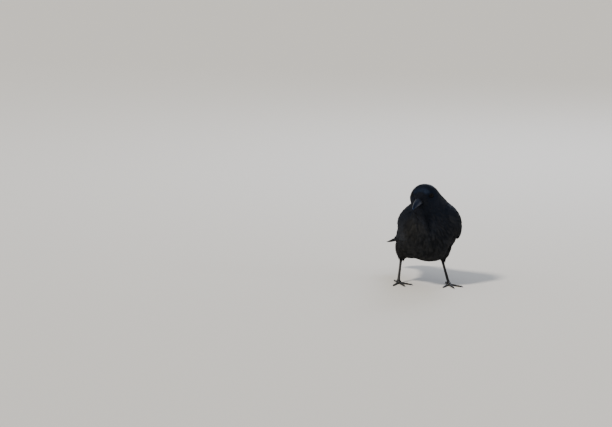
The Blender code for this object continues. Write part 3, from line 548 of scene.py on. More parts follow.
def vane_mesh(name, path, normal, lift, half, look, rng, flip=1):
    """Many feathers as one mesh. path and normal hold each feather's middle line on the form,
    lift its height over the form and half its half width, all in millimetres. look holds what
    the kind of feather shares: its columns across, rows, width along it, and so on."""
    count, stations = path.shape[:2]
    columns = np.asarray(look["columns"], float)
    rows, across = look["rows"], len(columns)
    along = unit(np.gradient(path, axis=1))
    side = unit(np.cross(along, normal)) * flip
    rounded = 1 - look["round"] * (1 - np.sqrt(np.maximum(0, 1 - (columns * 0.98) ** 2)))
    notch = look["fray"][:, None] * rng.uniform(0.3, 1.0, (count, across)) * (np.arange(across) % 2)
    ends = rounded[None, :] * (1 - notch)
    t = np.linspace(0, 1, rows)[None, :, None] * ends[:, None, :]
    place = t * (stations - 1)
    i = np.minimum(place.astype(int), stations - 2)
    f = (place - i)[..., None]
    who = np.arange(count)[:, None, None]
    middle = path[who, i] * (1 - f) + path[who, i + 1] * f
    outward = unit(normal[who, i] * (1 - f) + normal[who, i + 1] * f)
    sideways = unit(side[who, i] * (1 - f) + side[who, i + 1] * f)
    height = lift[who, i] * (1 - f[..., 0]) + lift[who, i + 1] * f[..., 0]
    width = half[:, None, None] * np.interp(t, look["at"], look["widths"])
    x = columns[None, None, :]
    height = height - look["camber"] * width * x**2 + look["tilt"] * x
    height = height + look["ridge"] * np.exp(-(((x - look["shaft"]) / SHAFT_WIDTH) ** 2)) * (1 - 0.8 * t)
    points = middle + sideways * (x * width)[..., None] + outward * height[..., None]
    under = points - outward * look["thick"]
    under = under[:, 1:-1, 1:-1]
    top = np.arange(rows * across).reshape(rows, across)
    bottom = top.copy()
    within = (rows - 2) * (across - 2)
    bottom[1:-1, 1:-1] = rows * across + np.arange(within).reshape(rows - 2, across - 2)
    quads = []
    for sheet, turn in ((top, flip), (bottom, -flip)):
        corners = [sheet[:-1, :-1], sheet[:-1, 1:], sheet[1:, 1:], sheet[1:, :-1]]
        quads.append(np.stack(corners, -1).reshape(-1, 4)[:, ::turn])
    quads = np.concatenate(quads)
    each = rows * across + within
    coords = np.concatenate([points.reshape(count, -1, 3), under.reshape(count, -1, 3)], 1)
    faces = (quads[None] + (np.arange(count) * each)[:, None, None]).reshape(-1, 4)
    length = np.linalg.norm(np.diff(path, axis=1), axis=-1).sum(1)
    fine = np.stack([(x - look["shaft"]) * width * look["slope"], t * length[:, None, None]], -1)
    patch = np.stack([x / 2 + 0 * t, t - 0.5], -1) * BAKE_PATCH + look["unwrap"][:, None, None, :]
    maps = {}
    for key, values in (("vane", fine), ("OFBake", patch)):
        inner = values[:, 1:-1, 1:-1].reshape(count, -1, 2)
        maps[key] = np.concatenate([values.reshape(count, -1, 2), inner], 1).reshape(-1, 2)
    mesh = bpy.data.meshes.new(name)
    mesh.vertices.add(count * each)
    mesh.vertices.foreach_set("co", ((coords.reshape(-1, 3) + SHIFT) * MM).ravel())
    mesh.loops.add(faces.size)
    mesh.loops.foreach_set("vertex_index", faces.ravel())
    mesh.polygons.add(len(faces))
    mesh.polygons.foreach_set("loop_start", np.arange(len(faces)) * 4)
    mesh.update(calc_edges=True)
    for key in ("OFBake", "vane"):
        layer = mesh.uv_layers.new(name=key)
        layer.uv.foreach_set("vector", maps[key][faces.ravel()].astype(np.float32).ravel())
    for key in ("shade", "gloss"):
        layer = mesh.attributes.new(key, "FLOAT", "POINT")
        layer.data.foreach_set("value", np.repeat(look[key], each).astype(np.float32))
    mesh.shade_smooth()
    mesh.set_sharp_from_angle(angle=VANE_SHARP)
    made = bpy.data.objects.new(name, mesh)
    bpy.context.scene.collection.objects.link(made)
    return made


def unwrap_place(u, v):
    """Where each feather's patch lies in the unwrapped square."""
    return 0.02 + 0.96 * np.stack([u, v], 1)


# Melanin-black feather keratin. Barbs stand 0.3 to 0.5 mm apart; they are drawn every 1.4 mm along
# the shaft so that they show. Close, smooth vanes have a navy gloss, and a painted navy sheen in
# their colour where they turn away at the edges; loose ones are matt and a little browner.
BARB_SPACING = 1.4
MULTIPLY, MULTIPLY_ADD = {"operation": "MULTIPLY"}, {"operation": "MULTIPLY_ADD"}
CLAMPED = {"clamp": True}
plumage, tree, shader = new_material("glossy_black_feather")
vane_place = add_node(tree, "ShaderNodeUVMap", {"uv_map": "vane"}).outputs["UV"]
parts = add_node(tree, "ShaderNodeSeparateXYZ", None, {0: vane_place}).outputs
off_shaft = add_node(tree, "ShaderNodeMath", {"operation": "ABSOLUTE"}, {0: parts["X"]}).outputs[0]
barb_at = add_node(tree, "ShaderNodeMath", MULTIPLY_ADD, {0: off_shaft, 1: -1.0, 2: parts["Y"]}).outputs[0]
phase = add_node(tree, "ShaderNodeMath", MULTIPLY, {0: barb_at, 1: 2 * math.pi / BARB_SPACING}).outputs[0]
barbs = add_node(tree, "ShaderNodeMath", {"operation": "SINE"}, {0: phase}).outputs[0]
limits = {"From Min": 0.3, "From Max": 0.7, "To Min": 1.0, "To Max": 0.0}
shaft = add_node(tree, "ShaderNodeMapRange", CLAMPED, {"Value": off_shaft, **limits}).outputs[0]
shade = add_node(tree, "ShaderNodeAttribute", {"attribute_name": "shade"}).outputs["Fac"]
gloss = add_node(tree, "ShaderNodeAttribute", {"attribute_name": "gloss"}).outputs["Fac"]
place = add_node(tree, "ShaderNodeTexCoord").outputs["Object"]
noise = add_node(tree, "ShaderNodeTexNoise", None, {"Vector": place, "Scale": 1 / (14 * MM), "Detail": 2.0})
patches = noise.outputs["Fac"]
uneven = add_node(tree, "ShaderNodeMath", MULTIPLY_ADD, {0: patches, 1: 0.5, 2: shade}).outputs[0]
streaks = add_node(tree, "ShaderNodeMath", MULTIPLY_ADD, {0: barbs, 1: 0.12, 2: uneven}).outputs[0]
dark, light, gleam = (
    add_node(tree, "ShaderNodeMix", COLOURS, {"Factor": gloss, 6: linear(loose), 7: linear(close)}).outputs[2]
    for loose, close in (("#040403", "#020304"), ("#272726", "#080b11"), ("#d9d4cf", "#8cb0ee"))
)
tone = add_node(tree, "ShaderNodeMix", COLOURS, {"Factor": streaks, 6: dark, 7: light}).outputs[2]
shafted = add_node(tree, "ShaderNodeMix", COLOURS, {"Factor": shaft, 6: tone, 7: linear("#121113")}).outputs[2]
# Painted sheen: towards the grazing edges the colour of glossy vanes is mixed with navy.
edge = add_node(tree, "ShaderNodeLayerWeight", None, {"Blend": 0.3}).outputs["Facing"]
share = add_node(tree, "ShaderNodeMath", MULTIPLY, {0: edge, 1: gloss}).outputs[0]
painted_sheen_colour = add_node(tree, "ShaderNodeMix", COLOURS, {"Factor": share, 6: shafted, 7: linear("#071020")}).outputs[2]
rough, shine = (
    add_node(tree, "ShaderNodeMapRange", CLAMPED, {"Value": gloss, "To Min": loose, "To Max": close}).outputs[0]
    for loose, close in ((0.75, 0.47), (0.1, 0.21))
)
aslant = add_node(tree, "ShaderNodeLayerWeight", None, {"Blend": 0.5}).outputs["Facing"]
limits = {"From Min": 0.3, "From Max": 0.85, "To Min": 1.0, "To Max": 0.02}
unshaded = add_node(tree, "ShaderNodeMapRange", CLAMPED, {"Value": aslant, **limits}).outputs[0]
level = add_node(tree, "ShaderNodeMath", MULTIPLY, {0: shine, 1: unshaded}).outputs[0]
bump = add_node(tree, "ShaderNodeBump", None, {"Height": barbs, "Strength": 0.2, "Distance": 0.15 * MM})
fill(tree, shader, {"Base Color": painted_sheen_colour, "Roughness": rough, "Specular IOR Level": level})
fill(tree, shader, {"Specular Tint": gleam, "Normal": bump.outputs["Normal"], "IOR": 1.54})

# Sizes down the body: the place along the form, a feather's length and half width, the gap
# between rows and between feathers of a row, and how deep its root lies, in millimetres.
CONTOUR_SIZES = np.array(
    [
        (0, 4.6, 0.9, 1.5, 1.2, 0.8),
        (1, 6.0, 1.2, 1.8, 1.5, 1.0),
        (2, 7.5, 1.5, 2.1, 1.9, 1.2),
        (3, 9.5, 1.9, 2.5, 2.4, 1.5),
        (4, 13.0, 2.5, 3.1, 3.0, 1.8),
        (5, 18.0, 3.5, 4.2, 4.1, 2.2),
        (6, 23.0, 4.6, 6.0, 5.1, 2.6),
        (7, 27.0, 5.5, 7.6, 5.9, 3.0),
        (8, 30.0, 6.1, 9.0, 6.4, 3.2),
        (9, 31.0, 6.3, 9.4, 6.5, 3.2),
        (10, 32.0, 6.3, 9.4, 6.4, 3.0),
        (11, 34.0, 6.0, 9.2, 6.0, 2.6),
        (12, 34.0, 5.8, 9.0, 5.4, 2.0),
        (14, 28.0, 6.4, 8.6, 5.4, 2.0),
    ]
)
FORM_STEP, SLOWEST = 0.05, 3.0


def sizes_at(at):
    """Length, half width, gap between rows, gap in a row, and depth of the root."""
    return [np.interp(at, CONTOUR_SIZES[:, 0], CONTOUR_SIZES[:, k]) for k in range(1, 6)]


def on_surface(surface, u, v):
    """The points of a surface at shares of it, and its unit normals there."""
    return read_grid(surface[0], u, v), unit(read_grid(surface[1], u, v))


def lie_on_body(at, around, length, stations, drift, surface):
    """The middle lines of feathers from their roots: back along the form, on the surface given
    over it."""
    steps_at, steps_around = [at], [around]
    step = length / (stations - 1)
    for _ in range(stations - 1):
        here = read_grid(body_grid, at / LAST_SLICE, around % 1)
        ahead = read_grid(body_grid, (at + FORM_STEP) / LAST_SLICE, around % 1)
        speed = np.linalg.norm(ahead - here, axis=-1) / FORM_STEP
        at = at + step / np.maximum(speed, SLOWEST)
        around = around + drift / (stations - 1)
        steps_at.append(at)
        steps_around.append(around)
    u, v = np.stack(steps_at, 1) / LAST_SLICE, np.stack(steps_around, 1) % 1
    return on_surface(surface, u, v)


def roots_on_body(start, end, rng, closer, scatter):
    """Roots in staggered rows round the body between two places along it."""
    found, at, odd = [], start, 0
    ring_shares = np.linspace(0, 1, FORM_COLUMNS)
    while at < end:
        _, _, row_gap, column_gap, _ = sizes_at(at)
        ring = read_grid(body_grid, np.full(FORM_COLUMNS, at / LAST_SLICE), ring_shares)
        arc = np.concatenate([[0], np.cumsum(np.linalg.norm(np.diff(ring, axis=0), axis=1))])
        count = max(6, int(arc[-1] / (column_gap * closer)))
        share = (np.arange(count) + 0.5 * odd + scatter * rng.uniform(-0.2, 0.2, count)) / count % 1
        around = np.interp(share * arc[-1], arc, ring_shares)
        ahead = read_grid(body_grid, np.full(FORM_COLUMNS, (at + FORM_STEP) / LAST_SLICE), ring_shares)
        speed = np.linalg.norm(ahead - ring, axis=1).mean() / FORM_STEP
        gap = row_gap * closer / speed
        found.append(np.stack([at + scatter * rng.uniform(-0.18, 0.18, count) * gap, around], 1))
        at += gap
        odd = 1 - odd
    return np.concatenate(found)


# What a kind of feather shares. Its columns lie across it as shares of its half width, and its
# widths are shares too; the ridge of the shaft, the tilt and the skin's thickness are millimetres.
CONTOUR_LOOK = {
    "columns": (-1, -0.66, -0.33, 0, 0.33, 0.66, 1),
    "rows": 5,
    "at": (0, 0.25, 0.6, 1),
    "widths": (0.45, 0.85, 1.0, 0.9),
    "round": 0.55,
    "camber": 0.22,
    "tilt": 0.0,
    "narrow": 1.0,
    "scatter": 1.0,
    "worn": 0.07,
    "ridge": 0.0,
    "shaft": 0.0,
    "slope": 3.4,
    "thick": VANE_SKINS["contour"],
}
CONTOUR_STATIONS = 7
# The throat's feathers are long and narrow; those at the right of the breast carry a painted pool of sunlight,
# lighter and duller.
THROAT_AT, THROAT_REACH = 4.6, 2.2
PAINTED_LIGHT_PLACE, PAINTED_LIGHT_REACH = np.array([-52.0, -58.0, 146.0]), 30
# A feather that would be hidden, on the lids, over a fold or in a crease is left out.
HIDDEN_DEPTH, LIDS_REACH, RIM_REACH, RIM_EASE = 5.0, 5.8, 5.2, 2.4
FOLD_LIMIT, CREASE_LIMIT = 0.45, 0.75
STRAIGHT_LEAST, STRAIGHT_MOST = 0.6, 1.4


def contour_piece(name, start, end, keep, seed, look, closer=1.0, surface=outer_surface):
    """The contour feathers between two places along the body, where keep says so."""
    rng = np.random.default_rng(seed)
    scatter = look["scatter"]
    roots = roots_on_body(start, end, rng, closer, scatter)
    at, around = roots[:, 0], roots[:, 1]
    under = 0.5 - 0.5 * np.cos(2 * np.pi * around)
    chosen = keep(at, around)
    at, around, under = at[chosen], around[chosen], under[chosen]
    count = len(at)
    length, half, _, _, depth = sizes_at(at)
    throat = under**3 * np.clip(1 - np.abs(at - THROAT_AT) / THROAT_REACH, 0, 1)
    length = length * (1 + 0.35 * throat) * (1 + scatter * rng.uniform(-0.12, 0.12, count))
    half = half * look["narrow"] * (1 - 0.42 * throat) * (1 + scatter * rng.uniform(-0.1, 0.1, count))
    drift = scatter * rng.normal(0, 0.004, count)
    path, normal = lie_on_body(at, around, length, CONTOUR_STATIONS, drift, surface)
    clear = np.ones(count, bool)
    for centre in EYES.values():
        nearest = np.linalg.norm(path - centre, axis=-1).min(1)
        clear &= nearest > LIDS_REACH
        half = half * np.clip((nearest - RIM_REACH) / RIM_EASE, 0.35, 1.0)
    straight = np.linalg.norm(path[:, -1] - path[:, 0], axis=-1) / np.maximum(length, 1)
    clear &= np.sum(normal[:, 0] * normal[:, -1], -1) > FOLD_LIMIT
    clear &= (straight > STRAIGHT_LEAST) & (straight < STRAIGHT_MOST)
    clear &= np.sum(normal[:, 1:] * normal[:, :-1], -1).min(1) > CREASE_LIMIT
    # Loose, frayed and matt underneath; close, rounded and glossy on the back and the head.
    loose = np.clip(under * 1.3 - 0.15, 0, 1)
    tip = 0.1 + scatter * rng.uniform(0, 0.25, count) + loose * rng.uniform(0.1, 0.8, count) + 0.2 * throat
    tip = tip * np.interp(at, (0, 4, 8), (0.35, 0.7, 1.0))
    lift = -depth[:, None] + (depth + tip)[:, None] * np.linspace(0, 1, CONTOUR_STATIONS) ** 0.9
    upper = np.clip(1.5 - under * 2.2, 0, 1)
    # Painted light: the feathers round that place are made lighter and less glossy, a pool of sunlight.
    painted_light = np.linalg.norm(path[:, CONTOUR_STATIONS // 2] - PAINTED_LIGHT_PLACE, axis=-1)
    painted_light = np.exp(-((painted_light / PAINTED_LIGHT_REACH) ** 2))
    closeness = upper + (1 - upper) * np.interp(at, (0, 4, 6, 8, 10), (0.85, 0.75, 0.42, 0.2, 0.1))
    shade = rng.uniform(-0.25, 0.3, count) + 1.3 * loose * rng.uniform(0, 1, count) ** 3 + 0.3 * painted_light
    own = {
        "fray": look["worn"] + 0.3 * loose,
        "shade": shade,
        "gloss": np.clip(closeness - 0.3 * painted_light + rng.uniform(-0.12, 0.12, count), 0, 1),
        "tilt": look["tilt"] * np.sin(2 * np.pi * around)[:, None, None],
        "unwrap": unwrap_place(at / LAST_SLICE, around % 1),
    }
    look = {**look, **{key: values[clear] for key, values in own.items()}}
    made = vane_mesh(name, path[clear], normal[clear], lift[clear], half[clear], look, rng)
    made.data.materials.append(plumage)
    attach(made, "root")


def everywhere(at, around):
    """Roots that no wing or thigh hides."""
    hidden = np.interp(at, (5.3, 6.0), (2.2, 1.0)) * HIDDEN_DEPTH
    return read_grid(cover[..., None], at / LAST_SLICE, around)[:, 0] < hidden


def on_the_back(at, around):
    return everywhere(at, around) & (np.abs(around % 1 - 0.5) > 0.25)


def underneath(at, around):
    return everywhere(at, around) & (np.abs(around % 1 - 0.5) <= 0.25)


HEAD_LOOK = {**CONTOUR_LOOK, "columns": (-1, -0.5, 0, 0.5, 1), "thick": 0.08}
contour_piece("head_feathers_face", 0.05, 2.6, everywhere, 11, HEAD_LOOK)
contour_piece("head_feathers_crown", 2.6, 4.4, everywhere, 12, HEAD_LOOK)
contour_piece("neck_feathers", 4.4, 6.5, everywhere, 13, CONTOUR_LOOK)
BACK_LOOK = {
    **CONTOUR_LOOK,
    "columns": (-1, -0.85, -0.55, -0.25, 0, 0.25, 0.55, 0.85, 1),
    "rows": 6,
    "camber": 0.14,
    "tilt": 0.45,
    "narrow": 0.78,
    "scatter": 0.3,
    "worn": 0.01,
    "round": 0.27,
}
contour_piece("mantle_feathers", 6.5, 12.9, on_the_back, 14, BACK_LOOK, 0.92)
contour_piece("breast_and_belly_feathers", 6.5, 12.3, underneath, 15, CONTOUR_LOOK, 0.68)

# Breast-side and shoulder feathers: those at the sides of the breast and the shoulders lie back
# over the front and the upper edge of the folded wing, so that the body runs into the wing.
OVER_WING, OVER_FALL, OVER_ROUNDS, OVER_BLURS = 20.0, 0.55, 40, 8
OVER_LAST_ROW = 240
wing_tree = grid_tree(
    [(wing_grids[s] + OVER_THE_COVERTS * wing_normals[s])[::3, 8:72:4] for s in (1, -1)]
)
wing_cover = raised_over_body(wing_tree, OVER_LAST_ROW)
over_wing = run_out(np.minimum(wing_cover, OVER_WING), OVER_FALL, OVER_ROUNDS, OVER_BLURS)
over_wing *= np.interp(along_form, (4.6, 5.7), (0.15, 1.0))
below_edge = lower_edge(body_grid[..., 1]) - body_grid[..., 2]
over_wing *= np.interp(below_edge, (-1.0, 6.0), (1.0, 0.0))
over_wing = np.maximum(over_wing, cover_soft)
shoulder_surface = surface_over_body(over_wing)


def over_the_wing(at, around):
    """Roots where the coat climbs on to the wing: beside it, or over its front."""
    u = at / LAST_SLICE
    raised = read_grid(over_wing[..., None], u, around)[:, 0]
    wing = read_grid(wing_cover[..., None], u, around)[:, 0]
    y = read_grid(body_grid, u, around)[:, 1]
    return (raised > 1.0) & (wing < raised + 1.0) & ((wing < 0.5) | (y < -42.0))


SIDE_LOOK = (16, CONTOUR_LOOK, 0.75, shoulder_surface)
contour_piece("breast_side_feathers", 5.1, 9.6, over_the_wing, *SIDE_LOOK)

# Trouser feathers: the short loose feathers of thigh and shin, which hang down to the heel
# joint and a little past it.
TROUSER_ROWS, TROUSER_GAP, TROUSER_STATIONS = 19, 3.6, 6
PAST_HEEL_AT, PAST_HEEL = (0.72, 0.93), (0.0, 10.0)
FULLER_AT, FULLER = (0.3, 0.75, 1.0, 1.25), (1.0, 1.16, 1.36, 0.55)
body_tree = grid_tree([body_grid[100:, ::3]])
for seed, (word, leg) in zip((21, 22), LEGS.items()):
    rng = np.random.default_rng(seed)
    heel, knee = np.array(leg["heel"], float), np.array(leg["knee"], float)
    thigh_length = np.linalg.norm(heel - knee)
    shares, rounds = [], []
    for k, share in enumerate(np.linspace(0.05, 0.93, TROUSER_ROWS)):
        girth = np.interp(share, THIGH_SHARES, THIGH_SIZES) * THIGH_RADIUS * 2 * math.pi
        count = int(max(12, girth / TROUSER_GAP))
        shares.append(np.full(count, share) + rng.uniform(-0.02, 0.02, count))
        rounds.append((np.arange(count) + 0.5 * (k % 2) + rng.uniform(-0.2, 0.2, count)) / count)
    share, around = np.clip(np.concatenate(shares), 0, 1), np.concatenate(rounds) % 1
    root = read_grid(thigh_grids[word], share, around)
    outwards = Vector((leg["out"], 0.0, 0.0))
    chosen = np.array([body_tree.ray_cast(Vector(p) + outwards * 3, outwards)[0] is None for p in root])
    share, around = share[chosen], around[chosen]
    count = len(share)
    length = rng.uniform(12, 15, count) * (1 - 0.45 * share) + np.interp(share, PAST_HEEL_AT, PAST_HEEL)
    reach = length / thigh_length
    t = np.linspace(0, 1, TROUSER_STATIONS)
    u = share[:, None] + reach[:, None] * t
    v = (around[:, None] + rng.normal(0, 0.01, count)[:, None] * t) % 1
    path = thigh_form(leg, np.minimum(u, 1.0), v)
    middle_line = thigh_form(leg, np.minimum(u, 1.0), v, 0.0)
    path = middle_line + (path - middle_line) * np.interp(u, FULLER_AT, FULLER)[..., None]
    shank_way = unit(np.array([*leg["foot"], 0.0]) - heel)
    path = path + shank_way * (np.maximum(u - 1.0, 0) * thigh_length)[..., None]
    normal = unit(read_grid(thigh_normals[word], np.minimum(u, 0.97), v))
    path = drawn_in(path, normal)
    lift = -1.6 + 1.8 * t[None, :] + rng.uniform(-0.2, 0.3, count)[:, None] * t
    look = {
        **CONTOUR_LOOK,
        "columns": (-1, -0.5, 0, 0.5, 1),
        "fray": rng.uniform(0.1, 0.25, count),
        "shade": rng.uniform(0.0, 0.6, count),
        "gloss": rng.uniform(0.05, 0.3, count),
        "unwrap": unwrap_place(share, around),
    }
    half = rng.uniform(2.2, 2.9, count) * (1 - 0.1 * share)
    trousers = vane_mesh(f"thigh_feathers_{word}", path, normal, lift, half, look, rng)
    trousers.data.materials.append(plumage)
    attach(trousers, "root")

# Wing feathers: stiff flight feathers under three tiers of coverts, with the small lesser
# coverts over the shoulder. The inner feathers lie over the outer ones, with the lower edge of
# each to the outside.
LONG_LOOK = {
    "columns": (-1, -0.7, -0.48, -0.36, -0.3, -0.24, -0.1, 0.2, 0.6, 1),
    "rows": 12,
    "at": (0, 0.12, 0.5, 0.8, 1),
    "widths": (0.35, 0.8, 1.0, 0.92, 0.7),
    "round": 0.16,
    "camber": 0.13,
    "ridge": 0.35,
    "shaft": -0.3,
    "slope": 1.5,
    "thick": VANE_SKINS["flight"],
}
COVERT_LOOK = {
    **LONG_LOOK,
    "columns": (-1, -0.72, -0.42, -0.16, -0.1, -0.04, 0.2, 0.6, 1),
    "rows": 8,
    "widths": (0.5, 0.85, 1.0, 0.95, 0.8),
    "round": 0.3,
    "camber": 0.2,
    "ridge": 0.2,
    "shaft": -0.1,
    "thick": 0.25,
}
# Each tier: its kind, how many, the first and last root as y and as across, the same of the
# tips, the half widths, the height over the form, the tilt, how much deeper each lies than the
# one before, and how evenly the tips follow each other.
WING_TIERS = {
    "primaries": (
        LONG_LOOK, 9, (78, 64), (0.8, 0.06), (165, 233), (0.82, 0.24), (6.4, 6.0), -1.4, 0.2, 0.72, 0.8
    ),
    "secondaries": (
        LONG_LOOK, 9, (12, 0), (0.95, 0.08), (160, 114), (0.88, 0.06), (8.5, 6.0), 0.2, 1.3, 0.0, 1.0
    ),
    "greater_coverts": (
        COVERT_LOOK, 10, (-30, -38), (0.95, 0.06), (60, 40), (0.95, 0.06), (7.4, 5.4), 1.3, 1.1, 0.0, 1.0
    ),
    "median_coverts": (
        COVERT_LOOK, 10, (-44, -50), (0.9, 0.08), (24, 8), (0.95, 0.08), (6.6, 4.6), 2.3, 1.0, 0.0, 1.0
    ),
    "primary_coverts": (
        COVERT_LOOK, 5, (-52, -44), (0.02, 0.14), (30, 78), (0.0, 0.16), (3.4, 4.0), 2.2, 0.5, 0.5, 1.0
    ),
    "alula": (
        COVERT_LOOK, 3, (-56, -52), (0.12, 0.16), (-8, 14), (0.03, 0.1), (3.2, 3.6), 2.9, 0.4, 0.3, 1.0
    ),
}
TIER_STATIONS, LESSER_STATIONS = 14, 7
LESSER_FRONT, LESSER_BACK, LESSER_ROWS = -61, -20, 9
for word, sign, seed in (("left", 1, 31), ("right", -1, 32)):
    rng = np.random.default_rng(seed)
    wing = (wing_grids[sign], wing_normals[sign])
    for tier, (tier_look, count, ry, ra, ty, ta, widths, lift, tilt, level, ease) in WING_TIERS.items():
        share = np.linspace(0, 1, count)
        root_y, root_a = ry[0] + (ry[1] - ry[0]) * share, ra[0] + (ra[1] - ra[0]) * share
        tip_y, tip_a = ty[0] + (ty[1] - ty[0]) * share**ease, ta[0] + (ta[1] - ta[0]) * share
        tip_y = tip_y + rng.uniform(-1.2, 1.2, count)
        t = np.linspace(0, 1, TIER_STATIONS)
        y = root_y[:, None] + (tip_y - root_y)[:, None] * t
        a = root_a[:, None] + (tip_a - root_a)[:, None] * t
        u, v = wing_shares(y, a)
        path, normal = on_surface(wing, u, v)
        height = lift - level * np.arange(count)[:, None] - 1.2 * (1 - np.minimum(1, 3 * t))
        half = np.linspace(widths[0], widths[1], count)
        look = {
            **tier_look,
            "tilt": -tilt / 2,
            "fray": np.full(count, 0.015),
            "shade": rng.uniform(-0.2, 0.3, count),
            "gloss": rng.uniform(0.6, 0.85, count),
            "unwrap": unwrap_place(u[:, 0], v[:, 0]),
        }
        piece = vane_mesh(f"wing_{word}_{tier}", path, normal, height, half, look, rng, flip=sign)
        piece.data.materials.append(plumage)
        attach(piece, "root")
        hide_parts(f"wing_{word}")
    rows = []
    for k, y in enumerate(np.linspace(LESSER_FRONT, LESSER_BACK, LESSER_ROWS)):
        count = int(np.interp(y, (-61, -50, -20), (6, 13, 18)))
        a = (np.arange(count) + 0.25 + 0.5 * (k % 2) + rng.uniform(-0.2, 0.2, count)) / count
        rows.append(np.stack([np.full(count, y) + rng.uniform(-1.8, 1.8, count), a], 1))
    root = np.concatenate(rows)
    root = root[(root[:, 0] > -52) | (root[:, 1] < 0.45)]
    root_y, root_a = root[:, 0], root[:, 1]
    count = len(root)
    length = np.interp(root_y, (LESSER_FRONT, LESSER_BACK), (11, 24)) * rng.uniform(0.9, 1.1, count)
    t = np.linspace(0, 1, LESSER_STATIONS)
    u, v = wing_shares(root_y[:, None] + length[:, None] * t, root_a[:, None] + 0 * t)
    path, normal = on_surface(wing, u, v)
    top = np.interp(root_y, (-61, -40, -20), (1.0, 2.6, 3.4))
    height = top[:, None] - 1.1 * (1 - t) + rng.uniform(-0.1, 0.2, count)[:, None]
    look = {
        **CONTOUR_LOOK,
        "fray": np.full(count, 0.06),
        "shade": rng.uniform(-0.2, 0.3, count),
        "gloss": rng.uniform(0.55, 0.8, count),
        "unwrap": unwrap_place(u[:, 0], v[:, 0]),
    }
    half = np.interp(root_y, (LESSER_FRONT, LESSER_BACK), (3.0, 5.2))
    lesser = vane_mesh(f"wing_{word}_lesser_coverts", path, normal, height, half, look, rng, flip=sign)
    lesser.data.materials.append(plumage)
    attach(lesser, "root")

# Tail feathers: twelve broad, stiff rectrices, closed like a fan. The middle pair lies on top
# and each pair below it is a little shorter and further out.
TAIL_BASE, TAIL_TIP = np.array([0, 129.0, 101.0]), np.array([-6.0, 248.0, 65.0])
TAIL_PAIRS, TAIL_STATIONS, TAIL_HALF = 6, 16, 8.0
TAIL_FIRST, TAIL_SPREAD = 0.08, {1: 4.2, -1: 5.1}
TAIL_ROOT_GAP, TAIL_TIP_OUT, TAIL_SHORTER, TAIL_BOW = 2.1, 4.5, 0.0035, 0.0014
rng = np.random.default_rng(41)
tail_along = unit(TAIL_TIP - TAIL_BASE)
tail_up = unit(np.array([0, -tail_along[2], tail_along[1]]))
t = np.linspace(0, 1, TAIL_STATIONS)
paths, shares = [], []
for k in range(TAIL_PAIRS):
    for side in (1, -1):
        level = k + 1 if k or side < 0 else 0
        share = TAIL_FIRST + (1.0 - TAIL_SHORTER * k**2 - TAIL_FIRST) * t
        tip_out = TAIL_SPREAD[side] * k + TAIL_TIP_OUT
        x = side * (TAIL_ROOT_GAP * (k + 0.6) * (1 - t) + tip_out * t)
        lift = 3.4 * (1 - 0.7 * t) - level * (0.45 + 0.35 * t) * 0.95 - TAIL_BOW * x**2
        line = TAIL_BASE + (TAIL_TIP - TAIL_BASE) * share[:, None] + np.array([1, 0, 0]) * x[:, None]
        paths.append(line + tail_up * lift[:, None])
        shares.append((level / 7, 0.5 + side * 0.06 * (k + 0.5)))
count = 2 * TAIL_PAIRS
look = {
    **LONG_LOOK,
    "columns": (-1, -0.6, -0.3, -0.08, 0, 0.08, 0.3, 0.6, 1),
    "shaft": 0.0,
    "round": 0.1,
    "camber": 0.15,
    "at": (0, 0.2, 0.6, 0.9, 1),
    "widths": (0.5, 0.75, 1.0, 1.0, 0.92),
    "tilt": 0.0,
    "fray": np.full(count, 0.01),
    "shade": rng.uniform(-0.2, 0.25, count),
    "gloss": rng.uniform(0.5, 0.7, count),
    "unwrap": unwrap_place(*np.array(shares).T),
}
normal = np.broadcast_to(tail_up, (count, TAIL_STATIONS, 3))
flat, half = np.zeros((count, TAIL_STATIONS)), np.full(count, TAIL_HALF)
tail = vane_mesh("tail_feathers", np.array(paths), normal, flat, half, look, rng)
tail.data.materials.append(plumage)
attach(tail, "root")
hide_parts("tail")

# Bill: two hollow sheaths of horn on bone, closed. The upper one arches to a tip that overhangs
# the lower one, with sharp cutting edges that leave the fine dark line of the mouth.
# Each sheath: rows of the distance from the face, the height, the droop and half the width; then
# its side of the mouth, and how far out and how high its tip is.
BILL_ROWS = {
    "bill_upper": (
        ((-5, 10.0, 0, 9.6), (0, 10.4, 0, 9.6), (10, 11.0, 0, 8.6), (20, 10.5, 0, 7.3), (30, 8.8, 0, 5.8),
         (38.5, 6.0, -0.3, 4.3), (45, 2.9, -1.1, 2.8), (49.3, 0.0, -2.1, 1.5)),
        1, 51.5, -4.6,
    ),
    "bill_lower": (
        ((-5, 8.4, 0, 8.7), (0, 8.4, 0, 8.7), (10, 8.3, 0, 7.7), (20, 7.6, 0, 6.4), (30, 6.2, 0, 5.0),
         (38.5, 4.5, -0.3, 3.6), (44.5, 3.2, -1.1, 2.2)),
        -1, 48.5, -4.0,
    ),
}
MOUTH_DROP, MOUTH_GAP = 0.8, 0.4
BILL_RINGS, BILL_BACK, BILL_SIDES, BILL_SHARP = 34, -5, 27, math.radians(50)
BILL_TIP_SHARES, BILL_DEPTHS = (0.4, 0.7, 0.88, 0.96, 0.99), {1: 1.5, -1: 1.0}


def bill_row(rows, distance):
    """The height, the droop and half the width of a sheath at a distance from the face."""
    table = along_rows(np.array(rows, float), np.linspace(0, len(rows) - 1, 300))
    return [np.interp(distance, table[:, 0], table[:, k]) for k in (1, 2, 3)]


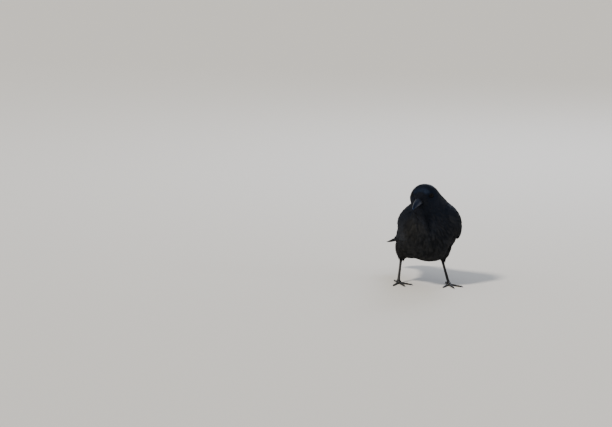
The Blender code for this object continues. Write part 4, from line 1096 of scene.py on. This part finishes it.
# Black horn: keratin in fine growth lines along the bill, drawn 0.8 mm apart so that they show.
# Use has polished it, with patches about 6 mm across that are a little greyer and duller.
horn, tree, shader = new_material("black_bill_horn")
place = add_node(tree, "ShaderNodeTexCoord").outputs["Object"]
stretch = {"Rotation": (0.0, 0.0, HEAD_TURN), "Scale": (1.0, 0.12, 1.0)}
turned = add_node(tree, "ShaderNodeMapping", None, {"Vector": place, **stretch}).outputs[0]
growth, wear = (
    add_node(tree, "ShaderNodeTexNoise", None, {"Vector": vector, "Scale": 1 / size, "Detail": 4.0}).outputs["Fac"]
    for vector, size in ((turned, 0.8 * MM), (place, 6 * MM))
)
ends = {6: linear("#030407"), 7: linear("#0a0c12")}
tone = add_node(tree, "ShaderNodeMix", COLOURS, {"Factor": wear, **ends}).outputs[2]
rough = add_node(tree, "ShaderNodeMapRange", None, {"Value": wear, "To Min": 0.2, "To Max": 0.4}).outputs[0]
bump = add_node(tree, "ShaderNodeBump", None, {"Height": growth, "Strength": 0.3, "Distance": 0.15 * MM})
fill(tree, shader, {"Base Color": tone, "Roughness": rough, "Normal": bump.outputs["Normal"]})
fill(tree, shader, {"IOR": 1.54, "Specular IOR Level": 0.4, "Specular Tint": linear("#7facff")})

for node, (rows, sign, length, tip_height) in BILL_ROWS.items():
    rings = []
    for distance in np.linspace(BILL_BACK, rows[-1][0], BILL_RINGS):
        height, droop, half = bill_row(rows, distance)
        edge = -MOUTH_DROP + droop + sign * MOUTH_GAP / 2
        peak = abs(-MOUTH_DROP + sign * height - edge)
        centre = FACE + FORWARD * distance
        ring = []
        for angle in np.linspace(0, math.pi, BILL_SIDES):
            rise = max(math.sin(angle), 0.0) ** 0.92 * peak * sign
            ring.append(centre + SIDEWAYS * math.cos(angle) * half + UPWARD * (edge + rise))
        for share in (-0.6, 0.0, 0.6):
            ring.append(centre + SIDEWAYS * share * half + UPWARD * (edge + BILL_DEPTHS[sign]))
        rings.append(ring)
    tip = FACE + FORWARD * length + UPWARD * tip_height
    last = np.array(rings[-1])
    last_middle = last.mean(0)
    for share in BILL_TIP_SHARES:
        left = 1 - share
        rings.append(tip + (last - last_middle) * left**0.7 + (last_middle - tip) * left)
    sheath = grid_object(f"{node}_horn", np.array(rings))
    sheath.data.materials.append(horn)
    sheath.data.shade_smooth()
    sheath.data.set_sharp_from_angle(angle=BILL_SHARP)
    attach(sheath, "root")
    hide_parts(node)

# Nasal and chin bristles: stiff, hair-like feathers that spring from the forehead and lores and
# lie forward over the nostrils and half the bill, with shorter ones at the chin.
BRISTLE_STATIONS, NEAR_FACE = 9, 3
head_tree = grid_tree([body_grid[:90, ::2]])
for name, sign, node, spread, count, longest, shortest, seed in (
    ("nasal_bristles", 1, "bill_upper", (0.0, 1.0), 260, 24.0, 11.0, 51),
    ("chin_bristles", -1, "bill_lower", (0.05, 0.95), 110, 10.0, 5.0, 52),
):
    rng = np.random.default_rng(seed)
    turn = np.pi * np.sort(rng.uniform(*spread, count))
    layer = rng.uniform(0, 1, count)
    length = (shortest + (longest - shortest) * layer**0.8) * (1 - 0.3 * np.abs(np.cos(turn)))
    start = rng.uniform(-5.5, -2.0, count) - 3 * (1 - layer)
    t = np.linspace(0, 1, BRISTLE_STATIONS)
    distance = start[:, None] + (length - start)[:, None] * t
    swing = turn[:, None] + (turn[:, None] - np.pi / 2) * 0.08 * t + rng.normal(0, 0.05, count)[:, None] * t
    height, _, half = bill_row(BILL_ROWS[node][0], np.maximum(distance, 0))
    spoke = SIDEWAYS * (np.cos(swing) * half)[..., None] + UPWARD * (np.sin(swing) * height * sign)[..., None]
    axis_point = FACE + FORWARD * distance[..., None] - UPWARD * MOUTH_DROP
    path = axis_point + spoke
    # Close to the face a bristle springs from the head's own surface.
    for i, j in zip(*np.nonzero(distance < NEAR_FACE)):
        ahead = FORWARD * max(distance[i, j] + 1, 0)
        way = Vector(unit(spoke[i, j]))
        place = head_tree.ray_cast(Vector(axis_point[i, j] - ahead), way)[0]
        blend = min(max((distance[i, j] + 1) / 4, 0), 1)
        on_head = np.array(place) if place is not None else path[i, j]
        path[i, j] = (on_head + ahead) * (1 - blend) + path[i, j] * blend
    normal = unit(spoke)
    bow = (0.8 * (1 - layer))[:, None] * np.sin(np.pi * np.minimum(t, 0.9))
    rise = -0.7 + 1.1 * np.minimum(1, 5 * t) + bow
    path = path + normal * (rise + rng.uniform(0.0, 0.3, count)[:, None])[..., None]
    look = {
        "columns": (-1, 0, 1),
        "rows": 6,
        "at": (0, 0.3, 0.7, 1),
        "widths": (0.8, 1.0, 0.7, 0.08),
        "round": 0.0,
        "camber": 0.35,
        "tilt": 0.0,
        "ridge": 0.0,
        "shaft": 0.0,
        "slope": 6.0,
        "thick": 0.15,
        "fray": np.zeros(count),
        # The bristles' lighter shade is partly their own brown-black and partly painted sheen, sunlight caught
        # along them.
        "shade": rng.uniform(0.0, 0.5, count),
        "gloss": rng.uniform(0.5, 0.8, count),
        "unwrap": unwrap_place(0.5 + start / 40, turn / np.pi),
    }
    lift, half = np.zeros((count, BRISTLE_STATIONS)), rng.uniform(0.36, 0.55, count)
    piece = vane_mesh(name, path, normal, lift, half, look, rng)
    piece.data.materials.append(plumage)
    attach(piece, "root")

# Eyes: very dark brown irises round black pupils, under a wet, clear cornea, set in the head to
# more than half their depth.
EYE_RADIUS, EYE_RINGS, EYE_SIDES = 5.6, 30, 40
LOOKS_SIDEWAYS, LOOKS_FORWARD, LOOKS_UP = 0.9, 0.42, 0.1
CORNEA_BULGE, CORNEA_REACH = 0.02, 0.5
LID_SIDES, LID_OPENING, LID_CORNERS, LID_RIPPLES, LID_RIPPLE = 60, 53, 8, 17, 0.12
eye, tree, shader = new_material("wet_dark_brown_eye")
off_axis = add_node(tree, "ShaderNodeAttribute", {"attribute_name": "off_axis"}).outputs["Fac"]
place = add_node(tree, "ShaderNodeTexCoord").outputs["Object"]
noise = add_node(tree, "ShaderNodeTexNoise", None, {"Vector": place, "Scale": 1 / (0.5 * MM), "Detail": 3.0})
ends = {6: linear("#030202"), 7: linear("#080403")}
iris = add_node(tree, "ShaderNodeMix", COLOURS, {"Factor": noise.outputs["Fac"], **ends}).outputs[2]
limits = {"From Min": 0.36, "From Max": 0.42}
pupil = add_node(tree, "ShaderNodeMapRange", None, {"Value": off_axis, **limits}).outputs[0]
colour = add_node(tree, "ShaderNodeMix", COLOURS, {"Factor": pupil, 6: linear("#020202"), 7: iris}).outputs[2]
fill(tree, shader, {"Base Color": colour, "Roughness": 0.3, "IOR": 1.38, "Specular IOR Level": 0.0})
fill(tree, shader, {"Coat Weight": 0.3, "Coat IOR": 1.38, "Coat Roughness": 0.02})

# Lids: a narrow rim of bare black skin that closes on the eye all round. It is finely wrinkled,
# about 0.5 mm from fold to fold, so it stays duller than the wet eye.
lid_skin, tree, shader = new_material("wrinkled_black_lid_skin")
place = add_node(tree, "ShaderNodeTexCoord").outputs["Object"]
cells = add_node(tree, "ShaderNodeTexVoronoi", None, {"Vector": place, "Scale": 1 / (0.5 * MM)})
wrinkles = {"Height": cells.outputs["Distance"], "Strength": 0.5, "Distance": 0.1 * MM}
bump = add_node(tree, "ShaderNodeBump", None, wrinkles)
fill(tree, shader, {"Base Color": linear("#030303"), "Normal": bump.outputs["Normal"]})
fill(tree, shader, {"Roughness": 0.7, "Specular IOR Level": 0.12})

for word, sign in (("left", 1), ("right", -1)):
    axis = unit(SIDEWAYS * sign * LOOKS_SIDEWAYS + FORWARD * LOOKS_FORWARD + UPWARD * LOOKS_UP)
    across = unit(np.cross(UPWARD, axis))
    upwards = np.cross(axis, across)
    angles = np.linspace(0.02, math.pi - 0.02, EYE_RINGS)
    spin = np.linspace(0, 2 * math.pi, EYE_SIDES + 1)[:-1]
    bulge = EYE_RADIUS * (1 + CORNEA_BULGE * np.exp(-((angles / CORNEA_REACH) ** 2)))
    spokes = across * np.cos(spin)[:, None] + upwards * np.sin(spin)[:, None]
    ball = EYES[sign] + bulge[:, None, None] * (
        axis * np.cos(angles)[:, None, None] + spokes[None] * np.sin(angles)[:, None, None]
    )
    eyeball = grid_object(f"eye_{word}_ball", ball)
    layer = eyeball.data.attributes.new("off_axis", "FLOAT", "POINT")
    layer.data.foreach_set("value", np.repeat(angles, EYE_SIDES).astype(np.float32))
    eyeball.data.materials.append(eye)
    eyeball.data.shade_smooth()
    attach(eyeball, "root")
    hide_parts(f"eye_{word}")
    rim = []
    for angle in np.linspace(0, 2 * math.pi, LID_SIDES + 1)[:-1]:
        spoke = across * math.cos(angle) + upwards * math.sin(angle)
        inner = math.radians(LID_OPENING + LID_CORNERS * abs(math.cos(angle)) ** 6)
        ripple = 1 + LID_RIPPLE * math.sin(angle * LID_RIPPLES)
        profile = (
            (0.0, -0.2), (0.0, 0.15), (0.03, 0.35 * ripple), (0.09, 0.42 * ripple), (0.16, 0.25),
            (0.21, 0.4 * ripple), (0.3, 0.22), (0.36, 0.36 * ripple), (0.62, 0.0), (0.62, -0.6), (0.25, -0.6),
        )
        ring = []
        for further, height in profile:
            direction = axis * math.cos(inner + further) + spoke * math.sin(inner + further)
            ring.append(EYES[sign] + direction * (EYE_RADIUS + height))
        rim.append(ring)
    rim.append(rim[0])
    lids = grid_object(f"eye_{word}_lids", np.array(rim), caps=False)
    bm = bmesh.new()
    bm.from_mesh(lids.data)
    bmesh.ops.remove_doubles(bm, verts=bm.verts, dist=0.01 * MM)
    bmesh.ops.recalc_face_normals(bm, faces=bm.faces)
    bm.to_mesh(lids.data)
    bm.free()
    lids.data.materials.append(lid_skin)
    lids.data.shade_smooth()
    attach(lids, "root")

# Feet: bare shanks and toes in black horny scales, with wide scutes down the front of the shank
# and the top of each toe, fine netted scales at the sides and swollen pads underneath.
# Each toe: its heading, its length, its radius at the root, its claw's length and its pads.
TOES = {
    "inner": (-31, 30, 2.35, 11.5, 3),
    "middle": (-1, 40, 2.4, 12.5, 4),
    "outer": (30, 32, 2.3, 10.5, 4),
    "hind": (177, 22, 2.5, 14.5, 2),
}
TOE_TIP_SHARE, TOE_START, TOE_EXTRA = 0.72, 4.0, 7.0
TOE_ROWS, TOE_SIDES, TOE_REST, PAD_SWELL = 70, 20, 0.97, 0.1
FOOT_VOXEL, FOOT_SOFTNESS, FOOT_ROUNDS = 0.42 * MM, 0.4, 2

# Black scaled leg skin: hard, dull keratin plates, paler in the seams where dust sits, with net
# scales about 1.1 mm across.
scaled, tree, shader = new_material("black_scaled_leg_skin")
place = add_node(tree, "ShaderNodeTexCoord").outputs["Object"]
at_edge = {"feature": "DISTANCE_TO_EDGE"}
net = add_node(tree, "ShaderNodeTexVoronoi", at_edge, {"Vector": place, "Scale": 1 / (1.1 * MM)})
limits = {"From Min": 0.0, "From Max": 0.12, "To Min": 0.0, "To Max": 1.0}
seam = add_node(tree, "ShaderNodeMapRange", None, {"Value": net.outputs["Distance"], **limits}).outputs[0]
dust = add_node(tree, "ShaderNodeTexNoise", None, {"Vector": place, "Scale": 1 / (5 * MM), "Detail": 4.0})
ends = {6: linear("#0b0b0c"), 7: linear("#19191b")}
plate = add_node(tree, "ShaderNodeMix", COLOURS, {"Factor": dust.outputs["Fac"], **ends}).outputs[2]
tone = add_node(tree, "ShaderNodeMix", COLOURS, {"Factor": seam, 6: linear("#242221"), 7: plate}).outputs[2]
bump = add_node(tree, "ShaderNodeBump", None, {"Height": seam, "Strength": 0.4, "Distance": 0.12 * MM})
fill(tree, shader, {"Base Color": tone, "Normal": bump.outputs["Normal"]})
fill(tree, shader, {"Roughness": 0.46, "IOR": 1.5, "Specular IOR Level": 0.35})


def limb(name, points, radii, sides, relief):
    """A tube along a path whose radius relief raises, by its place along and round it."""
    points = np.asarray(points, float)
    along = unit(np.gradient(points, axis=0))
    level = np.array([0.0, 0.0, 1.0]) if abs(along[0, 2]) < 0.7 else np.array([0.0, -1.0, 0.0])
    side = unit(np.cross(along, level))
    top = np.cross(side, along)
    share = np.linspace(0, 1, len(points))[:, None]
    round_it = np.linspace(0, 2 * math.pi, sides + 1)[:-1][None, :]
    radius = np.asarray(radii)[:, None] * relief(share, round_it)
    rings = points[:, None] + side[:, None] * (np.sin(round_it) * radius)[..., None]
    rings = rings + top[:, None] * (np.cos(round_it) * radius)[..., None]
    return grid_object(name, rings)


def saw(share, count):
    """Rises from 0 to 1 over each scute."""
    return (share * count) % 1.0


def toe_line(leg, key):
    """A toe's middle line on the ground, its radii and its heading."""
    heading, length, root, _, pads = TOES[key]
    angle = math.radians(heading) * leg["out"]
    ahead = np.array([math.sin(angle), -math.cos(angle), 0.0])
    share = np.linspace(0, 1, TOE_ROWS)
    radius = root * (1 - (1 - TOE_TIP_SHARE) * share)
    distance = TOE_START + (length + TOE_EXTRA - TOE_START) * share
    points = np.array([*leg["foot"], 0.0]) + ahead * distance[:, None]
    points[:, 2] = radius * TOE_REST
    swell = 1 + PAD_SWELL * np.cos(2 * np.pi * pads * share)
    return points, radius * swell, ahead


SHANK_ROWS, SHANK_SIDES, SHANK_ABOVE, SHANK_SCUTES, HEEL_SHARE = 90, 28, 5.0, 9, 0.07
ANKLE_BACK, ANKLE_HEIGHT = 2, 6.0
SHANK_AT, SHANK_RADII = (0, 0.05, 0.1, 0.2, 0.5, 0.9, 1), (3.6, 4.3, 4.2, 3.1, 2.75, 3.1, 4.2)
SOLE_SIZE, SOLE_HEIGHT = (5.6 * MM, 8.4 * MM, 4.3 * MM), 3.9


def shank_relief(share, angle):
    front = np.clip(np.cos(angle) * 1.6, 0, 1)
    scutes = np.where((share > 0.16) & (share < 0.93), saw((share - 0.16) / 0.77, SHANK_SCUTES), 0.5)
    keel = 0.10 * np.clip(-np.cos(angle), 0, 1) ** 6
    return 1 - 0.04 + front * (0.12 * scutes**1.5) + keel


for word, leg in LEGS.items():
    heel, knee = np.array(leg["heel"], float), np.array(leg["knee"], float)
    foot = np.array([leg["foot"][0], leg["foot"][1] + ANKLE_BACK, ANKLE_HEIGHT])
    start = heel - unit(heel - knee) * SHANK_ABOVE
    share = np.linspace(0, 1, SHANK_ROWS)
    at = share[:, None]
    above = start + (heel - start) * at / HEEL_SHARE
    below = heel + (foot - heel) * (at - HEEL_SHARE) / (1 - HEEL_SHARE)
    path = np.where(at < HEEL_SHARE, above, below)
    radii = np.interp(share, SHANK_AT, SHANK_RADII)
    pieces = [limb("shank", path, radii, SHANK_SIDES, shank_relief)]
    for key in TOES:
        points, radii, _ = toe_line(leg, key)
        plates = TOES[key][1] // 3

        def toe_relief(share, angle, plates=plates):
            above = np.clip(np.cos(angle) * 1.5, 0, 1)
            return 1 + above * (0.14 * (1 - saw(share, plates)) ** 1.5 - 0.04)

        pieces.append(limb("toe", points, radii, TOE_SIDES, toe_relief))
    bm = bmesh.new()
    bmesh.ops.create_uvsphere(bm, u_segments=24, v_segments=16, radius=1.0)
    bmesh.ops.scale(bm, vec=SOLE_SIZE, verts=bm.verts)
    middle = (np.array([*leg["foot"], SOLE_HEIGHT]) + SHIFT) * MM
    bmesh.ops.translate(bm, vec=middle, verts=bm.verts)
    mesh = bpy.data.meshes.new("sole")
    bm.to_mesh(mesh)
    bm.free()
    sole = bpy.data.objects.new("sole", mesh)
    bpy.context.scene.collection.objects.link(sole)
    pieces.append(sole)
    foot_piece = one_hide(pieces, f"foot_{word}_scales", FOOT_VOXEL, FOOT_SOFTNESS, FOOT_ROUNDS)
    for vert in foot_piece.data.vertices:
        vert.co.z = max(vert.co.z, 0.0)
    foot_piece.data.materials.clear()
    foot_piece.data.materials.append(scaled)
    foot_piece.data.shade_smooth()
    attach(foot_piece, "root")
    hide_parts(f"tarsus_{word}", *(f"toe_{word}_{key}" for key in TOES))

# Claws: curved black horn sheaths, ridged on top and grooved below, sharp at the tip. Each grows
# over the last bone of its toe.
CLAW_BEND, CLAW_SLOPE = math.radians(78), math.radians(24)
CLAW_RINGS, CLAW_SIDES, CLAW_FLOOR, CLAW_END = 22, 16, 0.35, 0.985
CLAW_ROOT, CLAW_CURVE, CLAW_SIZE, CLAW_TAPER, CLAW_WIDTH = 1.0, 0.9, 0.9, 0.75, 0.78
for word, leg in LEGS.items():
    for key in TOES:
        points, radii, ahead = toe_line(leg, key)
        base = points[-1] - ahead * CLAW_ROOT
        arc_radius = (TOES[key][3] + CLAW_ROOT) / CLAW_BEND
        side = np.cross(ahead, [0.0, 0.0, 1.0])
        rings = []
        for share in np.linspace(0, CLAW_END, CLAW_RINGS):
            angle = CLAW_BEND * share
            reach = arc_radius * math.sin(angle)
            rise = reach * math.sin(CLAW_SLOPE) * (1 - share * 0.2)
            rise -= arc_radius * (1 - math.cos(angle)) * CLAW_CURVE
            centre = base + ahead * reach + np.array([0, 0, rise])
            heading = angle - CLAW_SLOPE if share else 0.0
            up = np.cross(side, ahead * math.cos(heading) - np.array([0, 0, math.sin(heading)]))
            size = radii[-1] * CLAW_SIZE * (1 - share) ** CLAW_TAPER
            turns = np.linspace(0, 2 * math.pi, CLAW_SIDES + 1)[:-1]
            groove = 1 - 0.25 * np.clip(-np.cos(turns), 0, 1) ** 4
            spokes = side * (np.sin(turns) * CLAW_WIDTH)[:, None] + up * (np.cos(turns) * groove)[:, None]
            rings.append(centre + spokes * size)
        rings = np.array(rings)
        rings[..., 2] = np.maximum(rings[..., 2], CLAW_FLOOR)
        claw = grid_object(f"claw_{word}_{key}_horn", rings)
        claw.data.materials.append(horn)
        claw.data.shade_smooth()
        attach(claw, "root")
        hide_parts(f"claw_{word}_{key}")

# Studio: a wide pale floor under an even sky, with a soft sun from the viewer's upper left, a
# small lamp from the right and one behind that draws the edge of the black plumage.
FLOOR_SIZE, SKY_STRENGTH, LAMP_AIM = 60, 0.55, Vector((0, 0, 0.12))
bpy.ops.object.select_all(action="DESELECT")
bpy.ops.mesh.primitive_plane_add(size=FLOOR_SIZE, location=(0, 0, 0))
floor = bpy.context.view_layer.objects.active
floor.name = "studio_floor"
paper, tree, shader = new_material("matt_pale_floor")
fill(tree, shader, {"Base Color": linear("#e4e2dc"), "Roughness": 0.9})
floor.data.materials.append(paper)

CAMERA_AZIMUTH, CAMERA_RISE = math.radians(-13.0), math.radians(8.0)
CAMERA_DISTANCE, CAMERA_SEES = 16.0, 100
METRES_PER_PIXEL, IMAGE_WIDTH, IMAGE_HEIGHT = 0.0022, 612, 427
GROUND_PIXEL = (419.2, 281.2)
SENSOR = 36.0
right = Vector((math.cos(CAMERA_AZIMUTH), math.sin(CAMERA_AZIMUTH), 0))
towards = Vector(
    (
        math.sin(CAMERA_AZIMUTH) * math.cos(CAMERA_RISE),
        -math.cos(CAMERA_AZIMUTH) * math.cos(CAMERA_RISE),
        math.sin(CAMERA_RISE),
    )
)
upright = towards.cross(right)
camera_data = bpy.data.cameras.new("camera")
camera = bpy.data.objects.new("camera", camera_data)
bpy.context.scene.collection.objects.link(camera)
aim = right * (IMAGE_WIDTH / 2 - GROUND_PIXEL[0]) * METRES_PER_PIXEL
aim += upright * (GROUND_PIXEL[1] - IMAGE_HEIGHT / 2) * METRES_PER_PIXEL
camera.location = aim + towards * CAMERA_DISTANCE
camera.rotation_euler = towards.to_track_quat("Z", "Y").to_euler()
camera_data.sensor_width = SENSOR
camera_data.lens = SENSOR * CAMERA_DISTANCE / (IMAGE_WIDTH * METRES_PER_PIXEL)
camera_data.clip_end = CAMERA_SEES
bpy.context.scene.camera = camera

# Each lamp: its name, its kind, its place, its size, its power and its colour.
for name, kind, place, size, power, colour in (
    ("key", "SUN", (-2.2, -2.0, 3.0), math.radians(9), 3.0, "#fff6ea"),
    ("fill", "AREA", (2.2, -2.4, 1.2), 0.5, 8.0, "#e6efff"),
    ("rim", "AREA", (1.2, 2.2, 1.8), 1.2, 30.0, "#dfe8ff"),
):
    lamp_data = bpy.data.lights.new(name, kind)
    lamp_data.energy = power
    if kind == "SUN":
        lamp_data.angle = size
    else:
        lamp_data.size = size
    lamp_data.color = linear(colour)[:3]
    lamp = bpy.data.objects.new(name, lamp_data)
    lamp.location = place
    lamp.rotation_euler = (Vector(place) - LAMP_AIM).to_track_quat("Z", "Y").to_euler()
    bpy.context.scene.collection.objects.link(lamp)
world = bpy.data.worlds.new("studio")
world.use_nodes = True
sky = world.node_tree.nodes["Background"]
fill(world.node_tree, sky, {"Color": linear("#e6e9ed"), "Strength": SKY_STRENGTH})
bpy.context.scene.world = world
